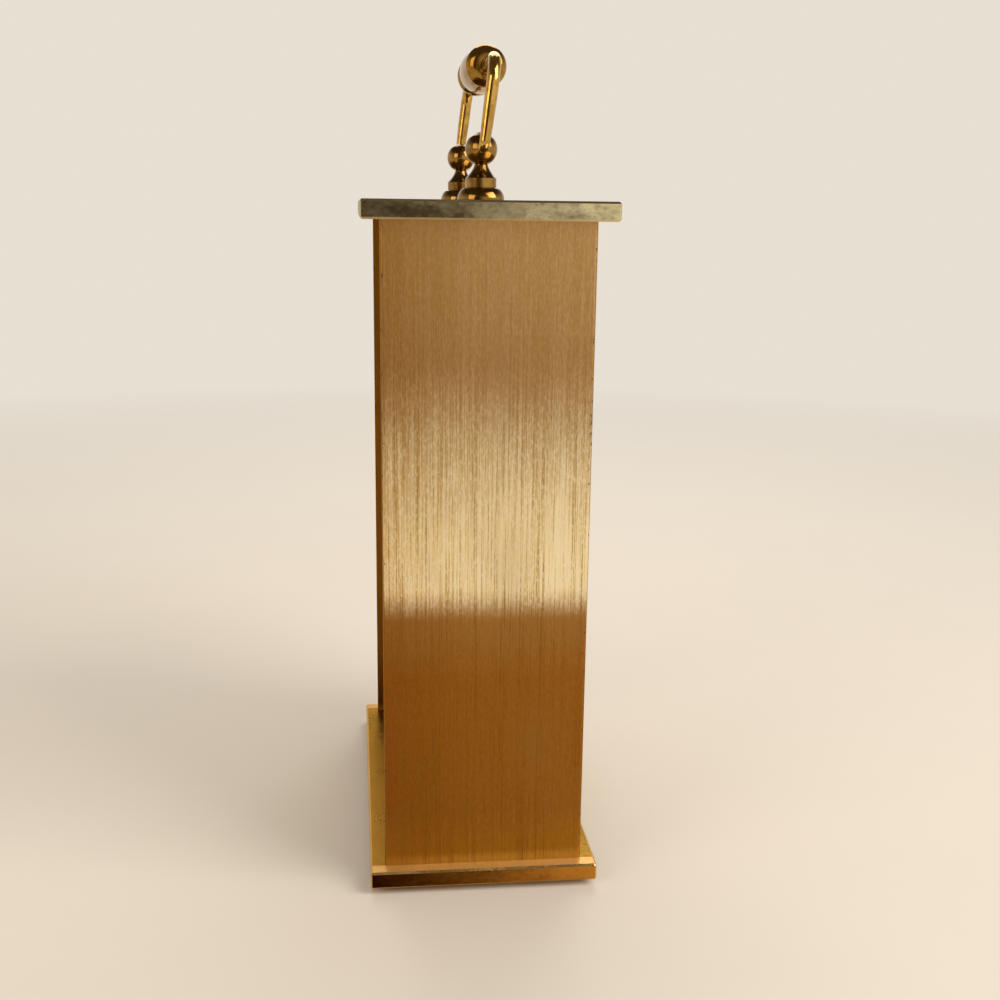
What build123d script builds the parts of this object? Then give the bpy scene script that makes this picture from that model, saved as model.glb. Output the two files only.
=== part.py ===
from build123d import *
import os
from math import atan2, cos, degrees, hypot, pi, radians, sin, sqrt

# Carriage alarm clock in millimetres.
# The origin is on the surface it stands on, under the middle of the case.
# +Z is up, -Y is the dial side, +Y is the winding side and +X is the side with the near panel.

# Case
body_width = 77.0
body_depth = 36.0
body_height = 115.0
top_overhang = 3.2
base_overhang = 2.7
plate_thickness = 3.2
plate_corner_radius = 0.4
plate_bevel = 0.35
panel_thickness = 1.6
panel_edge_radius = 0.5
foot_radius = 4.0
foot_height = 1.2
foot_inset = 6.5
case_pillar_radius = 1.8
case_pillar_inset = 2.0
case_pillar_front_y = -6.1
case_pillar_rear_y = 5.5
case_tenon_radius = 1.2
case_tenon_length = 1.5
case_screw_radius = 1.0
case_screw_length = 8.0
case_screw_head_radius = 2.0
case_screw_head_height = 1.0
screw_slot_width = 0.5
screw_slot_depth = 0.4

# Front, from the mask back to the dial
front_recess = 2.5
mask_thickness = 1.2
window_width = 58.0
window_height = 86.0
window_corner_radius = 2.0
stack_lap = 3.0
mask_rim = 1.0
glass_thickness = 1.5
hand_space = 4.2
dial_thickness = 0.6
dial_foot_radius = 1.2
dial_foot_pin_radius = 0.8
dial_foot_x = 24.0
dial_foot_drop = 12.0
dial_hole_clearance = 0.3

# Movement frame
motion_space = 2.4
movement_plate_thickness = 1.2
movement_gap = 10.8
rear_space = 4.0
back_cover_thickness = 1.0
movement_width = 58.0
movement_height = 89.0
movement_corner_radius = 3.0
movement_pillar_inset = 3.2
movement_pillar_radius = 2.0
movement_stud_radius = 1.0
movement_screw_head_radius = 1.8
movement_screw_head_height = 0.9
cover_screw_head_radius = 2.4
cover_screw_head_height = 1.1
cover_hole_clearance = 0.5

# Handle
post_spacing = 44.0
post_flange_radius = 4.1
post_flange_top_radius = 3.2
post_flange_height = 2.0
post_ring_radius = 2.7
post_ring_height = 3.85
post_groove_height = 0.2
post_groove_depth = 0.15
post_ring_lip = 0.1
post_flange_swell = 0.16
post_cone_hollow = 0.28
post_neck_radius = 1.14
ball_radius = 2.8
pivot_height = 8.6
post_stud_radius = 1.5
post_nut_height = 2.0
post_nut_radius = 2.9
bail_rod_radius = 1.1
bail_foot_rod_radius = 0.93
bail_arm_x = 27.0
bail_height = 15.0
bail_top_radius = 4.5
bail_foot_radius = 1.1
bail_foot_rise = 1.6
bail_pin_radius = 0.7
bail_pin_inner_x = 0.5
bail_lean = 7.4
grip_half_length = 11.6
grip_bead_radius = 3.68
grip_bead_x = 9.5
grip_waist_radius = 2.95
grip_waist_x = 7.8
grip_middle_radius = 3.95
grip_collar_radius = 1.6
grip_bead_outer_reach = 1.35
grip_bead_inner_reach = 1.05
grip_bead_shoulder = 0.85
grip_bead_outer_fall = 0.62
grip_bead_inner_fall = 0.14
grip_waist_width = 0.4

# Fits
running_clearance = 0.05
end_play = 0.1
fixed_clearance = 0.02
mesh_clearance = 0.03

# Dial side
centre_rise = 13.1
hour_hand_length = 14.5
minute_hand_length = 22.0
alarm_hand_length = 7.6
hand_thickness = 0.3
hour_hand_width = 2.2
minute_hand_width = 1.8
minute_hand_tail = 4.0
alarm_hand_width = 1.3
hand_root_width = 0.9
hand_widest_share = 0.62
hour_hand_eye_rim = 0.9
hour_hand_seat = 0.35
minute_hand_eye_rim = 0.7
alarm_hand_eye_rim = 0.9
hour_hand_space = 1.5
minute_hand_space = 0.9
hand_seat = 0.2
minute_direction = 60.0
motion_gap = 0.3
motion_step = 0.2
motion_wheel_thickness = 0.6
motion_stud_radius = 0.7
hour_pipe_wall = 0.6
idler_hub_radius = 3.0
idler_window_radius = 9.6
idler_arm_width = 1.8
alarm_notch_width = 1.2
alarm_notch_length = 1.6
alarm_notch_radius = 4.2
hour_hand_angle = 305.0
minute_hand_angle = 60.0
alarm_hand_angle = 195.0

# Teeth, as shares of the module or of one tooth's pitch
tooth_tip_height = 0.8
tooth_root_depth = 1.25
tooth_tip_share = 0.2
tooth_root_share = 0.52

# Wheels: teeth and module
motion_module = 0.4
cannon_teeth = 12
minute_wheel_teeth = 36
hour_module = 0.384
minute_pinion_teeth = 10
hour_wheel_teeth = 40
idler_teeth = 64
alarm_wheel_teeth = 40
barrel_module = 0.45
barrel_teeth = 72
centre_pinion_teeth = 12
centre_module = 0.4
centre_wheel_teeth = 64
third_pinion_teeth = 8
third_module = 0.35
third_wheel_teeth = 60
fourth_pinion_teeth = 8
fourth_module = 0.3
fourth_wheel_teeth = 64
escape_pinion_teeth = 8
alarm_module = 0.4
alarm_barrel_teeth = 50
alarm_pinion_teeth = 8

# Going train
third_direction = 62.0
fourth_direction = -12.0
escape_direction = -80.0
pallet_direction = -80.0
barrel_direction = -136.0
wheel_thickness = 0.7
pinion_length = 1.2
arbor_radius = 0.7
pivot_radius = 0.4
pivot_length = 1.0
wheel_rim_width = 1.5
wheel_arm_width = 1.3
wheel_hub_radius = 2.4
centre_arbor_radius = 0.8
centre_pipe_wall = 0.65
centre_pinion_level = 0.2
arbor_collar_radius = 1.7
arbor_collar_length = 0.8
barrel_flange_thickness = 1.0
barrel_gap = 0.3
barrel_drum_radius = 14.9
barrel_height = 6.4
barrel_wall = 0.8
barrel_floor = 0.6
barrel_arbor_radius = 2.0
barrel_pivot_radius = 1.5
spring_strip = 0.35
spring_turns = 5
spring_end_gap = 0.4
centre_wheel_level = 7.6
third_pinion_level = 7.3
third_wheel_level = 3.2
fourth_pinion_level = 2.9
fourth_wheel_level = 5.4
escape_pinion_level = 5.1
escape_wheel_level = 2.0
escape_teeth = 15
escape_radius = 4.2
escape_tooth_depth = 0.9
escape_tooth_lean = 0.3
pallet_distance = 5.6
pallet_pin_radius = 0.18
pallet_pin_circle = 4.58
pallet_pin_angle = 24.0
pallet_fork_length = 7.2
pallet_arbor_radius = 0.6
pallet_hub_radius = 1.4
pallet_arm_width = 1.0
pallet_arm_reach = 0.9
fork_notch_width = 0.8
fork_notch_length = 1.4
fork_notch_offset = 0.3
balance_distance = 9.5
balance_radius = 7.4
balance_rim = 1.0
balance_level = 6.6
balance_thickness = 1.2
balance_arm_width = 1.4
balance_hub_radius = 1.6
balance_staff_radius = 0.6
roller_radius = 1.8
roller_level = 3.0
roller_thickness = 0.5
impulse_pin_offset = 1.3
impulse_pin_radius = 0.3
hairspring_level = 8.6
hairspring_height = 0.5
hairspring_strip = 0.15
hairspring_inner = 1.5
hairspring_pitch = 0.6
hairspring_turns = 5
hairspring_stud_radius = 0.5

# Winding side
ratchet_teeth = 24
ratchet_thickness = 0.8
ratchet_gap = 0.4
time_ratchet_radius = 4.6
alarm_ratchet_radius = 4.0
ratchet_tooth_depth = 0.6
ratchet_tooth_lean = 0.85
click_pivot_radius = 0.6
click_eye_radius = 1.5
click_distance = 8.0
click_width = 1.3
click_clearance = 0.08
click_lead = 38.0
click_tip = 0.45
time_click_direction = 150.0
alarm_click_direction = 20.0
key_gap = 0.4
key_boss_radius = 2.8
key_boss_length = 2.6
key_ear_radius = 2.7
key_ear_offset = 5.2
key_wing_thickness = 1.5
key_length = 7.2
key_ear_hole = 1.1
key_bar_drop = 1.2
knob_radius = 4.2
knob_length = 5.6
knob_ridges = 20
knob_ridge_depth = 0.35
regulator_ring_radius = 3.2
regulator_boss_radius = 1.5
regulator_boss_height = 1.2
regulator_length = 11.5
regulator_width = 1.6
regulator_thickness = 0.6
regulator_gap = 0.3
regulator_tab = 1.2
regulator_tab_length = 5.4
regulator_slot_half_angle = 24.0
regulator_slot_width = 2.4

# Alarm
alarm_barrel_x = 15.5
alarm_barrel_drop = 27.9
alarm_drum_radius = 9.2
alarm_pinion_direction = -125.0
alarm_escape_radius = 4.0
alarm_escape_level = 7.6
alarm_escape_tooth_lean = 0.5
alarm_pinion_level = 0.2
hammer_distance = 5.4
hammer_direction = 180.0
hammer_pin_circle = 4.38
hammer_pin_angle = 26.0
hammer_level = 5.0
hammer_arm_width = 1.4
hammer_arm_thickness = 0.8
hammer_head_radius = 1.6
hammer_head_length = 3.2
hammer_gap = 1.0
bell_x = -16.5
bell_drop = 30.4
bell_radius = 11.0
bell_wall = 0.8
bell_level = 1.6
bell_depth = 6.0
bell_shoulder_radius = 2.0
bell_nut_height = 0.8
bell_strike_direction = -70.0
bell_post_radius = 1.5
stop_x = -1.5
stop_drop = 42.5
stop_radius = 1.0
stop_level = 6.9
stop_travel = 2.5
stop_knob_radius = 2.6
stop_knob_length = 3.0
stop_knob_gap = 2.8
sound_hole_radius = 0.9
sound_hole_circle = 5.5
sound_hole_count = 6
sound_window_lip = 1.5

# Levels along Y, from the dial side to the winding side
y_front = -body_depth / 2
y_mask = y_front + front_recess
y_glass = y_mask + mask_thickness
y_spacer = y_glass + glass_thickness
y_dial = y_spacer + hand_space
y_motion = y_dial + dial_thickness
y_plate_front = y_motion + motion_space
y_gap_front = y_plate_front + movement_plate_thickness
y_gap_rear = y_gap_front + movement_gap
y_plate_rear = y_gap_rear + movement_plate_thickness
y_cover = y_plate_rear + rear_space
y_cover_rear = y_cover + back_cover_thickness

# Levels along Z
z_base = foot_height
z_floor = z_base + plate_thickness
z_ceiling = z_floor + body_height
z_top = z_ceiling + plate_thickness
z_middle = (z_floor + z_ceiling) / 2
z_centre = z_middle + centre_rise
z_pivot = z_top + pivot_height

# Widths
top_width = body_width + 2 * top_overhang
top_depth = body_depth + 2 * top_overhang
base_width = body_width + 2 * base_overhang
base_depth = body_depth + 2 * base_overhang
inner_width = body_width - 2 * panel_thickness
stack_width = window_width + 2 * stack_lap
stack_height = window_height + 2 * stack_lap
post_x = post_spacing / 2
pillar_x = inner_width / 2 - case_pillar_inset
case_pillar_places = [
    (x, y)
    for x in (-pillar_x, pillar_x)
    for y in (case_pillar_front_y, case_pillar_rear_y)
]
movement_pillar_x = movement_width / 2 - movement_pillar_inset
movement_pillar_rise = movement_height / 2 - movement_pillar_inset
movement_corners = [
    (x, z_middle + rise)
    for x in (-movement_pillar_x, movement_pillar_x)
    for rise in (-movement_pillar_rise, movement_pillar_rise)
]
dial_foot_rise = stack_height / 2 - dial_foot_drop
dial_feet = [
    (x, z_middle + rise)
    for x in (-dial_foot_x, dial_foot_x)
    for rise in (-dial_foot_rise, dial_foot_rise)
]


# Helpers
def step_from(place, direction, distance):
    """The place that lies at a distance from another one, in the plane of the wheels."""
    return (place[0] + distance * cos(radians(direction)), place[1] + distance * sin(radians(direction)))


def slab(sketch, place, y_start, y_end):
    """A flat piece with its outline in the plane of the wheels, from one level along Y to another."""
    plane = Plane(origin=(place[0], y_end, place[1]), x_dir=(1, 0, 0), z_dir=(0, -1, 0))
    return extrude(plane * sketch, amount=y_end - y_start)


def rod(place, radius, y_start, y_end):
    """A round bar along Y."""
    return slab(Circle(radius), place, y_start, y_end)


def pipe(place, outer, inner, y_start, y_end):
    """A tube along Y."""
    return slab(Circle(outer) - Circle(inner), place, y_start, y_end)


def upright(place, radius, z_start, z_end):
    """A round bar along Z."""
    return Pos(place[0], place[1], z_start) * extrude(Circle(radius), amount=z_end - z_start)


def spread(teeth_driver, teeth_follower, module):
    """Distance between the middles of two wheels in mesh."""
    return module * (teeth_driver + teeth_follower) / 2 + mesh_clearance


def mate_phase(phase, teeth, mate_teeth, direction):
    """Angle of one tooth of the mating wheel, so that its teeth sit in the gaps of the first wheel."""
    part_of_pitch = (radians(direction - phase) * teeth / (2 * pi)) % 1.0
    return direction + 180.0 - (0.5 - part_of_pitch) * 360.0 / mate_teeth


def gear(teeth, module, phase):
    """Toothed outline with one tooth in the middle of the phase angle."""
    pitch_radius = module * teeth / 2
    root = pitch_radius - tooth_root_depth * module
    tip = pitch_radius + tooth_tip_height * module
    half_pitch = pi / teeth
    corners = []
    for i in range(teeth):
        middle = radians(phase) + 2 * i * half_pitch
        for radius, share in (
            (root, -tooth_root_share),
            (tip, -tooth_tip_share),
            (tip, tooth_tip_share),
            (root, tooth_root_share),
        ):
            angle = middle + share * half_pitch
            corners.append((radius * cos(angle), radius * sin(angle)))
    return Polygon(*corners)


def saw_wheel(teeth, radius, depth, phase, lean):
    """Outline with pointed, leaning teeth, as on a ratchet or an escape wheel."""
    pitch = 2 * pi / teeth
    corners = []
    for i in range(teeth):
        start = radians(phase) + i * pitch
        corners.append(((radius - depth) * cos(start), (radius - depth) * sin(start)))
        corners.append((radius * cos(start + lean * pitch), radius * sin(start + lean * pitch)))
    return Polygon(*corners)


def crossings(root_radius):
    """The four windows between the arms of a wheel."""
    windows = Circle(root_radius - wheel_rim_width) - Circle(wheel_hub_radius)
    windows -= Rectangle(2 * root_radius, wheel_arm_width)
    windows -= Rectangle(wheel_arm_width, 2 * root_radius)
    return windows


def crossed_wheel(teeth, module, phase):
    """Toothed outline with arms."""
    root_radius = module * teeth / 2 - tooth_root_depth * module
    return gear(teeth, module, phase) - crossings(root_radius)


def arbor(place, radius=arbor_radius):
    """A bar between the movement plates with a thinner pivot in each plate."""
    bar = rod(place, radius, y_gap_front + end_play, y_gap_rear - end_play)
    return bar + rod(place, pivot_radius, y_gap_front - pivot_length, y_gap_rear + pivot_length)


# Places of the arbors, as X and Z
centre = (0.0, z_centre)
hour_spread = spread(minute_pinion_teeth, hour_wheel_teeth, hour_module)
minute_place = step_from(centre, minute_direction, hour_spread)
idler_place = step_from(centre, -90.0, spread(hour_wheel_teeth, idler_teeth, hour_module))
alarm_place = step_from(idler_place, -90.0, spread(idler_teeth, alarm_wheel_teeth, hour_module))
barrel_place = step_from(centre, barrel_direction, spread(barrel_teeth, centre_pinion_teeth, barrel_module))
third_spread = spread(centre_wheel_teeth, third_pinion_teeth, centre_module)
third_place = step_from(centre, third_direction, third_spread)
fourth_spread = spread(third_wheel_teeth, fourth_pinion_teeth, third_module)
fourth_place = step_from(third_place, fourth_direction, fourth_spread)
escape_spread = spread(fourth_wheel_teeth, escape_pinion_teeth, fourth_module)
escape_place = step_from(fourth_place, escape_direction, escape_spread)
pallet_place = step_from(escape_place, pallet_direction, pallet_distance)
balance_place = step_from(pallet_place, -90.0, balance_distance)
alarm_barrel_place = (alarm_barrel_x, z_middle - alarm_barrel_drop)
alarm_pinion_spread = spread(alarm_barrel_teeth, alarm_pinion_teeth, alarm_module)
alarm_escape_place = step_from(alarm_barrel_place, alarm_pinion_direction, alarm_pinion_spread)
hammer_place = step_from(alarm_escape_place, hammer_direction, hammer_distance)
bell_place = (bell_x, z_middle - bell_drop)
stop_place = (stop_x, z_middle - stop_drop)
time_click_place = step_from(barrel_place, time_click_direction, click_distance)
alarm_click_place = step_from(alarm_barrel_place, alarm_click_direction, click_distance)


# Case
def make_plate(width, depth, z_start):
    """The base or the top plate with its softened edges."""
    outline = RectangleRounded(width, depth, plate_corner_radius)
    plate = Pos(0, 0, z_start) * extrude(outline, amount=plate_thickness)
    rims = plate.faces().sort_by(Axis.Z)[0].edges() + plate.faces().sort_by(Axis.Z)[-1].edges()
    return chamfer(rims, plate_bevel)


def make_base_plate():
    """The base plate, bored and recessed below for the case screws."""
    plate = make_plate(base_width, base_depth, z_base)
    for place in case_pillar_places:
        plate -= upright(place, case_screw_radius + running_clearance, z_base, z_floor)
        recess_radius = case_screw_head_radius + running_clearance
        plate -= upright(place, recess_radius, z_base, z_base + case_screw_head_height)
    return plate


def make_top_plate():
    """The top plate, with blind holes for the case pillars and bores for the studs of the handle posts."""
    plate = make_plate(top_width, top_depth, z_ceiling)
    for place in case_pillar_places:
        hole_top = z_ceiling + case_tenon_length + fixed_clearance
        plate -= upright(place, case_tenon_radius + fixed_clearance, z_ceiling, hole_top)
    for x in (-post_x, post_x):
        plate -= upright((x, 0), post_stud_radius + fixed_clearance, z_ceiling, z_top)
    return plate


def make_feet():
    """Four round pads under the base plate."""
    foot_x = base_width / 2 - foot_inset
    foot_y = base_depth / 2 - foot_inset
    places = [(x, y) for x in (-foot_x, foot_x) for y in (-foot_y, foot_y)]
    return [upright(place, foot_radius, 0, foot_height) for place in places]


def make_side_panel(side):
    """One side panel between the plates, with its outer upright edges rounded."""
    x = side * (body_width - panel_thickness) / 2
    panel = Pos(x, 0, z_floor) * extrude(Rectangle(panel_thickness, body_depth), amount=body_height)
    uprights = panel.edges().filter_by(Axis.Z).sort_by(Axis.X)
    outer = uprights[-2:] if side > 0 else uprights[:2]
    return fillet(outer, panel_edge_radius)


def make_case_pillars():
    """Four pillars that hold the two plates apart, with a tenon above and a screw bore below."""
    pillars = []
    for place in case_pillar_places:
        pillar = upright(place, case_pillar_radius, z_floor, z_ceiling)
        pillar += upright(place, case_tenon_radius, z_ceiling, z_ceiling + case_tenon_length)
        pillar -= upright(place, case_screw_radius + fixed_clearance, z_floor, z_floor + case_screw_length)
        pillars.append(pillar)
    return pillars


def make_case_screws():
    """Four screws up through the base plate into the pillars."""
    screws = []
    for place in case_pillar_places:
        head_top = z_base + case_screw_head_height
        screw = upright(place, case_screw_head_radius, z_base, head_top)
        screw += upright(place, case_screw_radius, head_top, z_floor + case_screw_length - end_play)
        slot = Rectangle(2 * case_screw_head_radius, screw_slot_width)
        screw -= Pos(place[0], place[1], z_base) * extrude(slot, amount=screw_slot_depth)
        screws.append(screw)
    return screws


def make_front_mask():
    """The front mask with its window, and a rim behind it that holds the glass, the spacer and the dial."""
    window = RectangleRounded(window_width, window_height, window_corner_radius)
    mask = slab(Rectangle(inner_width, body_height) - window, (0, z_middle), y_mask, y_glass)
    rim_inner = Rectangle(stack_width + 2 * fixed_clearance, stack_height + 2 * fixed_clearance)
    rim_outer = Rectangle(stack_width + 2 * mask_rim, stack_height + 2 * mask_rim)
    return mask + slab(rim_outer - rim_inner, (0, z_middle), y_glass, y_motion)


def make_glass():
    """The flat glass behind the window."""
    return slab(Rectangle(stack_width, stack_height), (0, z_middle), y_glass, y_spacer)


def make_spacer_frame():
    """The frame that holds the glass off the dial and leaves room for the hands."""
    window = RectangleRounded(window_width, window_height, window_corner_radius)
    return slab(Rectangle(stack_width, stack_height) - window, (0, z_middle), y_spacer, y_dial)


def make_dial_plate():
    """The dial plate with four feet that stand on the movement's front plate."""
    dial = slab(Rectangle(stack_width, stack_height), (0, z_middle), y_dial, y_motion)
    for place in dial_feet:
        dial += rod(place, dial_foot_radius, y_motion, y_plate_front)
        dial += rod(place, dial_foot_pin_radius, y_plate_front, y_gap_front)
    dial -= rod(centre, hour_pipe_radius + dial_hole_clearance, y_dial, y_motion)
    return dial - rod(alarm_place, centre_arbor_radius + dial_hole_clearance, y_dial, y_motion)


def make_back_cover():
    """The back cover, set inside the panels, with holes for what comes through it."""
    cover = slab(Rectangle(inner_width, body_height), (0, z_middle), y_cover, y_cover_rear)
    through = [(centre, centre_arbor_radius), (alarm_place, centre_arbor_radius)]
    through += [(barrel_place, barrel_pivot_radius), (alarm_barrel_place, barrel_pivot_radius)]
    for place, radius in through:
        cover -= rod(place, radius + cover_hole_clearance, y_cover, y_cover_rear)
    cover -= rod(stop_place, stop_radius + running_clearance, y_cover, y_cover_rear)
    for place in movement_corners:
        cover -= rod(place, movement_stud_radius + running_clearance, y_cover, y_cover_rear)
    half_angle = regulator_slot_half_angle
    slot_path = CenterArc((0, 0), regulator_length, 90 - half_angle, 2 * half_angle)
    cover -= slab(SlotArc(slot_path, regulator_slot_width), balance_place, y_cover, y_cover_rear)
    cover -= rod(bell_place, sound_hole_radius, y_cover, y_cover_rear)
    for i in range(sound_hole_count):
        place = step_from(bell_place, i * 360.0 / sound_hole_count, sound_hole_circle)
        cover -= rod(place, sound_hole_radius, y_cover, y_cover_rear)
    return cover


def slotted_head(place, radius, y_start, y_end, slot_side):
    """A screw head with its slot on one side."""
    head = rod(place, radius, y_start, y_end)
    slot = Rectangle(2 * radius, screw_slot_width)
    if slot_side > 0:
        return head - slab(slot, place, y_end - screw_slot_depth, y_end)
    return head - slab(slot, place, y_start, y_start + screw_slot_depth)


def make_back_cover_screws():
    """Four screws through the back cover into the rear spacers."""
    screws = []
    for place in movement_corners:
        head_end = y_cover_rear + cover_screw_head_height
        screw = slotted_head(place, cover_screw_head_radius, y_cover_rear, head_end, 1)
        stud_start = y_cover - rear_space / 2 + end_play
        screws.append(screw + rod(place, movement_stud_radius, stud_start, y_cover_rear))
    return screws


# Handle
def make_handle_posts():
    """Two turned posts with a bored ball on top and a stud through the top plate."""
    neck_foot = pivot_height - sqrt(ball_radius ** 2 - post_neck_radius ** 2)
    ring_foot = post_flange_height + post_groove_height
    groove_radius = post_ring_radius - post_groove_depth
    lip_radius = post_ring_radius - post_ring_lip
    flange = ThreePointArc(
        (post_flange_radius, 0),
        (post_flange_radius - post_flange_swell, post_flange_height / 2),
        (post_flange_top_radius, post_flange_height),
    )
    cone = ThreePointArc(
        (lip_radius, post_ring_height),
        ((post_ring_radius + post_neck_radius) / 2 - post_cone_hollow, (post_ring_height + neck_foot) / 2),
        (post_neck_radius, neck_foot),
    )
    ball_top = (0, pivot_height + ball_radius)
    ball = ThreePointArc((post_neck_radius, neck_foot), (ball_radius, pivot_height), ball_top)
    profile = [
        flange,
        Polyline(
            (post_flange_top_radius, post_flange_height),
            (groove_radius, post_flange_height),
            (groove_radius, ring_foot),
            (post_ring_radius, ring_foot),
            (post_ring_radius, post_ring_height - post_ring_lip),
            (lip_radius, post_ring_height),
        ),
        cone,
        ball,
        Polyline(
            ball_top,
            (0, -plate_thickness - post_nut_height),
            (post_stud_radius, -plate_thickness - post_nut_height),
            (post_stud_radius, 0),
            (post_flange_radius, 0),
        ),
    ]
    turned = revolve(Plane.XZ * make_face(profile), Axis.Z)
    posts = []
    for side in (-1, 1):
        bore = Plane.YZ * Circle(bail_pin_radius + running_clearance)
        bore = Pos(-bail_pin_radius, 0, pivot_height) * extrude(bore, amount=2 * ball_radius)
        post = turned - (bore if side > 0 else mirror(bore, Plane.YZ))
        posts.append(Pos(side * post_x, 0, z_top) * post)
    return posts


def make_post_nuts():
    """Two six-sided nuts under the top plate."""
    outline = RegularPolygon(post_nut_radius, 6) - Circle(post_stud_radius + fixed_clearance)
    nut = extrude(outline, amount=post_nut_height)
    return [Pos(x, 0, z_ceiling - post_nut_height) * nut for x in (-post_x, post_x)]


def lean_back(shape):
    """Turn a piece of the handle about its pivots to where it rests."""
    return Pos(0, 0, z_pivot) * (Rot(-bail_lean, 0, 0) * shape)


def make_handle_bail():
    """The bent rod of the handle, thicker at the top, with a thinner pin at each end."""
    ball_face = post_x + ball_radius + 2 * running_clearance
    arm_top = bail_height - 2 * bail_top_radius + bail_foot_radius
    top_path = FilletPolyline(
        (bail_arm_x, 0, arm_top),
        (bail_arm_x, 0, bail_height),
        (-bail_arm_x, 0, bail_height),
        (-bail_arm_x, 0, arm_top),
        radius=bail_top_radius,
    )
    bail = sweep(Pos(bail_arm_x, 0, arm_top) * Circle(bail_rod_radius), top_path)
    foot_path = FilletPolyline(
        (ball_face, 0, 0), (bail_arm_x, 0, 0), (bail_arm_x, 0, bail_foot_rise), radius=bail_foot_radius
    )
    foot = sweep(Plane(origin=(ball_face, 0, 0), z_dir=(1, 0, 0)) * Circle(bail_foot_rod_radius), foot_path)
    upward = (Align.CENTER, Align.CENTER, Align.MIN)
    arm = Cone(bail_foot_rod_radius, bail_rod_radius, arm_top - bail_foot_rise, align=upward)
    pin_end = post_x + bail_pin_inner_x
    pin = Plane.YZ * Circle(bail_pin_radius)
    side = foot + Pos(bail_arm_x, 0, bail_foot_rise) * arm
    side += Pos(pin_end, 0, 0) * extrude(pin, amount=ball_face - pin_end)
    return lean_back(bail + side + mirror(side, Plane.YZ))


def make_handle_grip():
    """The turned grip: a swelling middle between two beads, with a collar at each end."""
    bore = bail_rod_radius + running_clearance
    bead_end = grip_bead_x + grip_bead_outer_reach
    middle_end = grip_waist_x - grip_waist_width
    half = [
        Line((grip_half_length, bore), (grip_half_length, grip_collar_radius)),
        Line((grip_half_length, grip_collar_radius), (bead_end, grip_collar_radius)),
        ThreePointArc(
            (bead_end, grip_collar_radius),
            (grip_bead_x + grip_bead_shoulder, grip_bead_radius - grip_bead_outer_fall),
            (grip_bead_x, grip_bead_radius),
        ),
        ThreePointArc(
            (grip_bead_x, grip_bead_radius),
            (grip_bead_x - grip_bead_inner_reach, grip_bead_radius - grip_bead_inner_fall),
            (grip_waist_x, grip_waist_radius),
        ),
        Line((grip_waist_x, grip_waist_radius), (middle_end, grip_waist_radius)),
    ]
    other = [mirror(edge, Plane.YZ) for edge in half]
    middle = ThreePointArc(
        (middle_end, grip_waist_radius),
        (0, grip_middle_radius),
        (-middle_end, grip_waist_radius),
    )
    inside = Line((grip_half_length, bore), (-grip_half_length, bore))
    face = make_face(half + other + [middle, inside])
    return lean_back(Pos(0, 0, bail_height) * revolve(Plane.XZ * face, Axis.X))


# Movement frame
cannon_pipe_radius = centre_arbor_radius + centre_pipe_wall
hour_pipe_radius = cannon_pipe_radius + running_clearance + hour_pipe_wall
motion_lower = y_motion + motion_gap
motion_upper = motion_lower + motion_wheel_thickness + motion_step
train_places = [
    third_place,
    fourth_place,
    escape_place,
    pallet_place,
    balance_place,
    alarm_escape_place,
    hammer_place,
]


def movement_plate(y_start, y_end):
    """A movement plate with the bores that both plates share."""
    outline = RectangleRounded(movement_width, movement_height, movement_corner_radius)
    plate = slab(outline, (0, z_middle), y_start, y_end)
    for place in train_places:
        plate -= rod(place, pivot_radius + running_clearance, y_start, y_end)
    for place in (centre, alarm_place):
        plate -= rod(place, centre_arbor_radius + running_clearance, y_start, y_end)
    for place in (barrel_place, alarm_barrel_place):
        plate -= rod(place, barrel_pivot_radius + running_clearance, y_start, y_end)
    for place in movement_corners:
        plate -= rod(place, movement_stud_radius + running_clearance, y_start, y_end)
    return plate


def make_movement_front_plate():
    """The front movement plate with the studs of the minute wheel and the idler."""
    plate = movement_plate(y_plate_front, y_gap_front)
    for place in dial_feet:
        plate -= rod(place, dial_foot_pin_radius + fixed_clearance, y_plate_front, y_gap_front)
    plate -= rod(bell_place, movement_stud_radius + fixed_clearance, y_plate_front, y_gap_front)
    for place in (minute_place, idler_place):
        plate += rod(place, motion_stud_radius, motion_lower - end_play, y_plate_front)
    return plate


def make_movement_rear_plate():
    """The rear movement plate with a sound window, the regulator's boss and the click studs."""
    plate = movement_plate(y_gap_rear, y_plate_rear)
    plate -= rod(bell_place, bell_radius - sound_window_lip, y_gap_rear, y_plate_rear)
    boss_end = y_plate_rear + regulator_boss_height
    boss_bore = pivot_radius + running_clearance
    plate += pipe(balance_place, regulator_boss_radius, boss_bore, y_plate_rear, boss_end)
    stud_end = y_plate_rear + ratchet_gap + ratchet_thickness
    for place in (time_click_place, alarm_click_place):
        plate += rod(place, click_pivot_radius, y_plate_rear, stud_end)
    plate -= rod(stop_place, stop_radius + running_clearance, y_gap_rear, y_plate_rear)
    return plate


def make_movement_pillars():
    """Four pillars between the movement plates, bored at both ends."""
    pillars = []
    for place in movement_corners:
        pillar = rod(place, movement_pillar_radius, y_gap_front, y_gap_rear)
        bore = movement_stud_radius + fixed_clearance
        pillar -= rod(place, bore, y_gap_front, y_gap_front + movement_gap / 3)
        pillar -= rod(place, bore, y_gap_rear - movement_gap / 3, y_gap_rear)
        pillars.append(pillar)
    return pillars


def make_movement_screws():
    """Four screws through the front plate into the pillars."""
    screws = []
    for place in movement_corners:
        head_start = y_plate_front - movement_screw_head_height
        screw = slotted_head(place, movement_screw_head_radius, head_start, y_plate_front, -1)
        stud_end = y_gap_front + movement_gap / 3 - end_play
        screws.append(screw + rod(place, movement_stud_radius, y_plate_front, stud_end))
    return screws


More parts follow.
